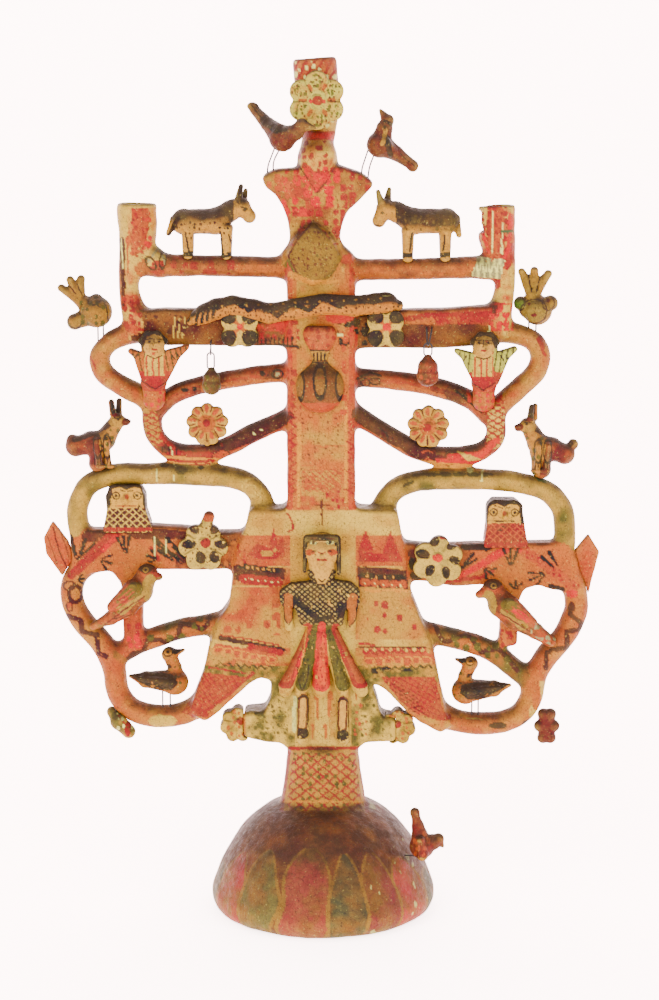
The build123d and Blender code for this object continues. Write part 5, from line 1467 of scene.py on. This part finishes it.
def ornament_shape(c):
    c.stick((-229, -3.4, 336), (-217, -3.4, 298), 0.7, soft=0.7, dig=True)
    c.stick((226, -3.4, 324), (216, -3.4, 286), 0.7, soft=0.7, dig=True)
    for k in range(5):
        c.stick((192 + 2 * cos(k * tau / 5), -11, 163 + 3 * sin(k * tau / 5)),
                (192 + 11 * cos(k * tau / 5), -9, 163 + 16 * sin(k * tau / 5)), 0.8, 1.2, soft=0.8, dig=True)


figure("edge_ornaments", ornament_ground, [
    (BROWN, many(stroke(1.1, (-229, 334), (-224, 312), (-217, 297)), stroke(0.7, (-234, 326), (-226, 302)),
                 stroke(0.7, (-222, 328), (-216, 308)))),
    (PINK, many(stroke(1.6, (222, 322), (220, 288)), stroke(1.2, (228, 312), (224, 286)),
                stroke(1.2, (215, 312), (214, 292)))),
    (RED, many(oval(216, 284, 4, 6), oval(-168, 157, 3, 7), stroke(1.2, (-176, 170), (-170, 160)))),
    (WHITE, dots(area((-180, 148), (-162, 148), (-162, 176), (-184, 176)), 6, 1.2, 69)),
], ornament_shape, facing=0.7)

figure("fruit_left", mottled(paint(128, 112, 72), BROWN, 6, 87), [(OLIVE, dots(ANY, 5, 1.4, 70))], facing=1.1)
figure("fruit_right", mottled(paint(176, 98, 58), BROWN, 7, 88), [(ORANGE, dots(ANY, 5, 1.3, 71))],
       facing=1.1)
# ------------------------------------------------------------------ iron
for name in frame["nodes"]:
    if name.endswith(("_legs", "_leg", "_eye")) or name == "pendant_hooks":
        target = bpy.data.objects[name]
        target.data.materials.clear()
        target.data.materials.append(IRON)

# ------------------------------------------------------------------ floor, light, camera
def stage_material(name, rgb):
    material, tree, shader = new_material(name)
    shader.inputs["Base Color"].default_value = (*rgb, 1.0)
    shader.inputs["Roughness"].default_value = 0.9
    shader.inputs["Emission Color"].default_value = (*PAPER_LIGHT, 1.0)
    shader.inputs["Emission Strength"].default_value = 5.0
    return material


floor_mesh = bpy.data.meshes.new("floor")
reach, back, rise, steps = 4.0, 1.3, 0.9, 12
profile = [(-reach, 0.0), (back, 0.0)]
profile += [(back + rise * sin(radians(90 * k / steps)),
             rise * (1 - cos(radians(90 * k / steps)))) for k in range(1, steps + 1)]
profile += [(back + rise, 4.0)]
points = [(x, y, z) for y, z in profile for x in (-reach, reach)]
floor_mesh.from_pydata(points, [], [(2 * k, 2 * k + 1, 2 * k + 3,
                                     2 * k + 2) for k in range(len(profile) - 1)])
floor = bpy.data.objects.new("floor", floor_mesh)
bpy.context.collection.objects.link(floor)
floor_mesh.polygons.foreach_set("use_smooth", [True] * len(floor_mesh.polygons))
floor_mesh.materials.append(stage_material("studio_paper", PAPER))

world = bpy.data.worlds.new("studio")
bpy.context.scene.world = world
world.use_nodes = True
world.node_tree.nodes["Background"].inputs[0].default_value = (1.0, 0.855, 0.840, 1.0)
world.node_tree.nodes["Background"].inputs[1].default_value = 6.0


def area_light(name, place, target, size, power):
    light = bpy.data.lights.new(name, "AREA")
    light.shape = "DISK"
    light.size = size
    light.energy = power
    lamp = bpy.data.objects.new(name, light)
    lamp.location = place
    lamp.rotation_euler = (Vector(target) - Vector(place)).to_track_quat("-Z", "Y").to_euler()
    bpy.context.collection.objects.link(lamp)


area_light("key", (-1.3, -1.8, 2.1), (0, 0, 0.4), 1.4, 100)
area_light("fill", (1.7, -1.9, 1.3), (0, 0, 0.4), 1.6, 50)
area_light("top", (0.0, 0.3, 2.4), (0, 0, 0.3), 1.6, 40)

camera_data = bpy.data.cameras.new("camera")
camera_data.sensor_width = 36.0
camera_data.lens = 86.4
camera = bpy.data.objects.new("camera", camera_data)
camera.location = Vector((EYE_X, EYE_Y, EYE_Z)) * MM
camera.rotation_euler = (radians(80), 0, 0)
bpy.context.collection.objects.link(camera)
bpy.context.scene.camera = camera
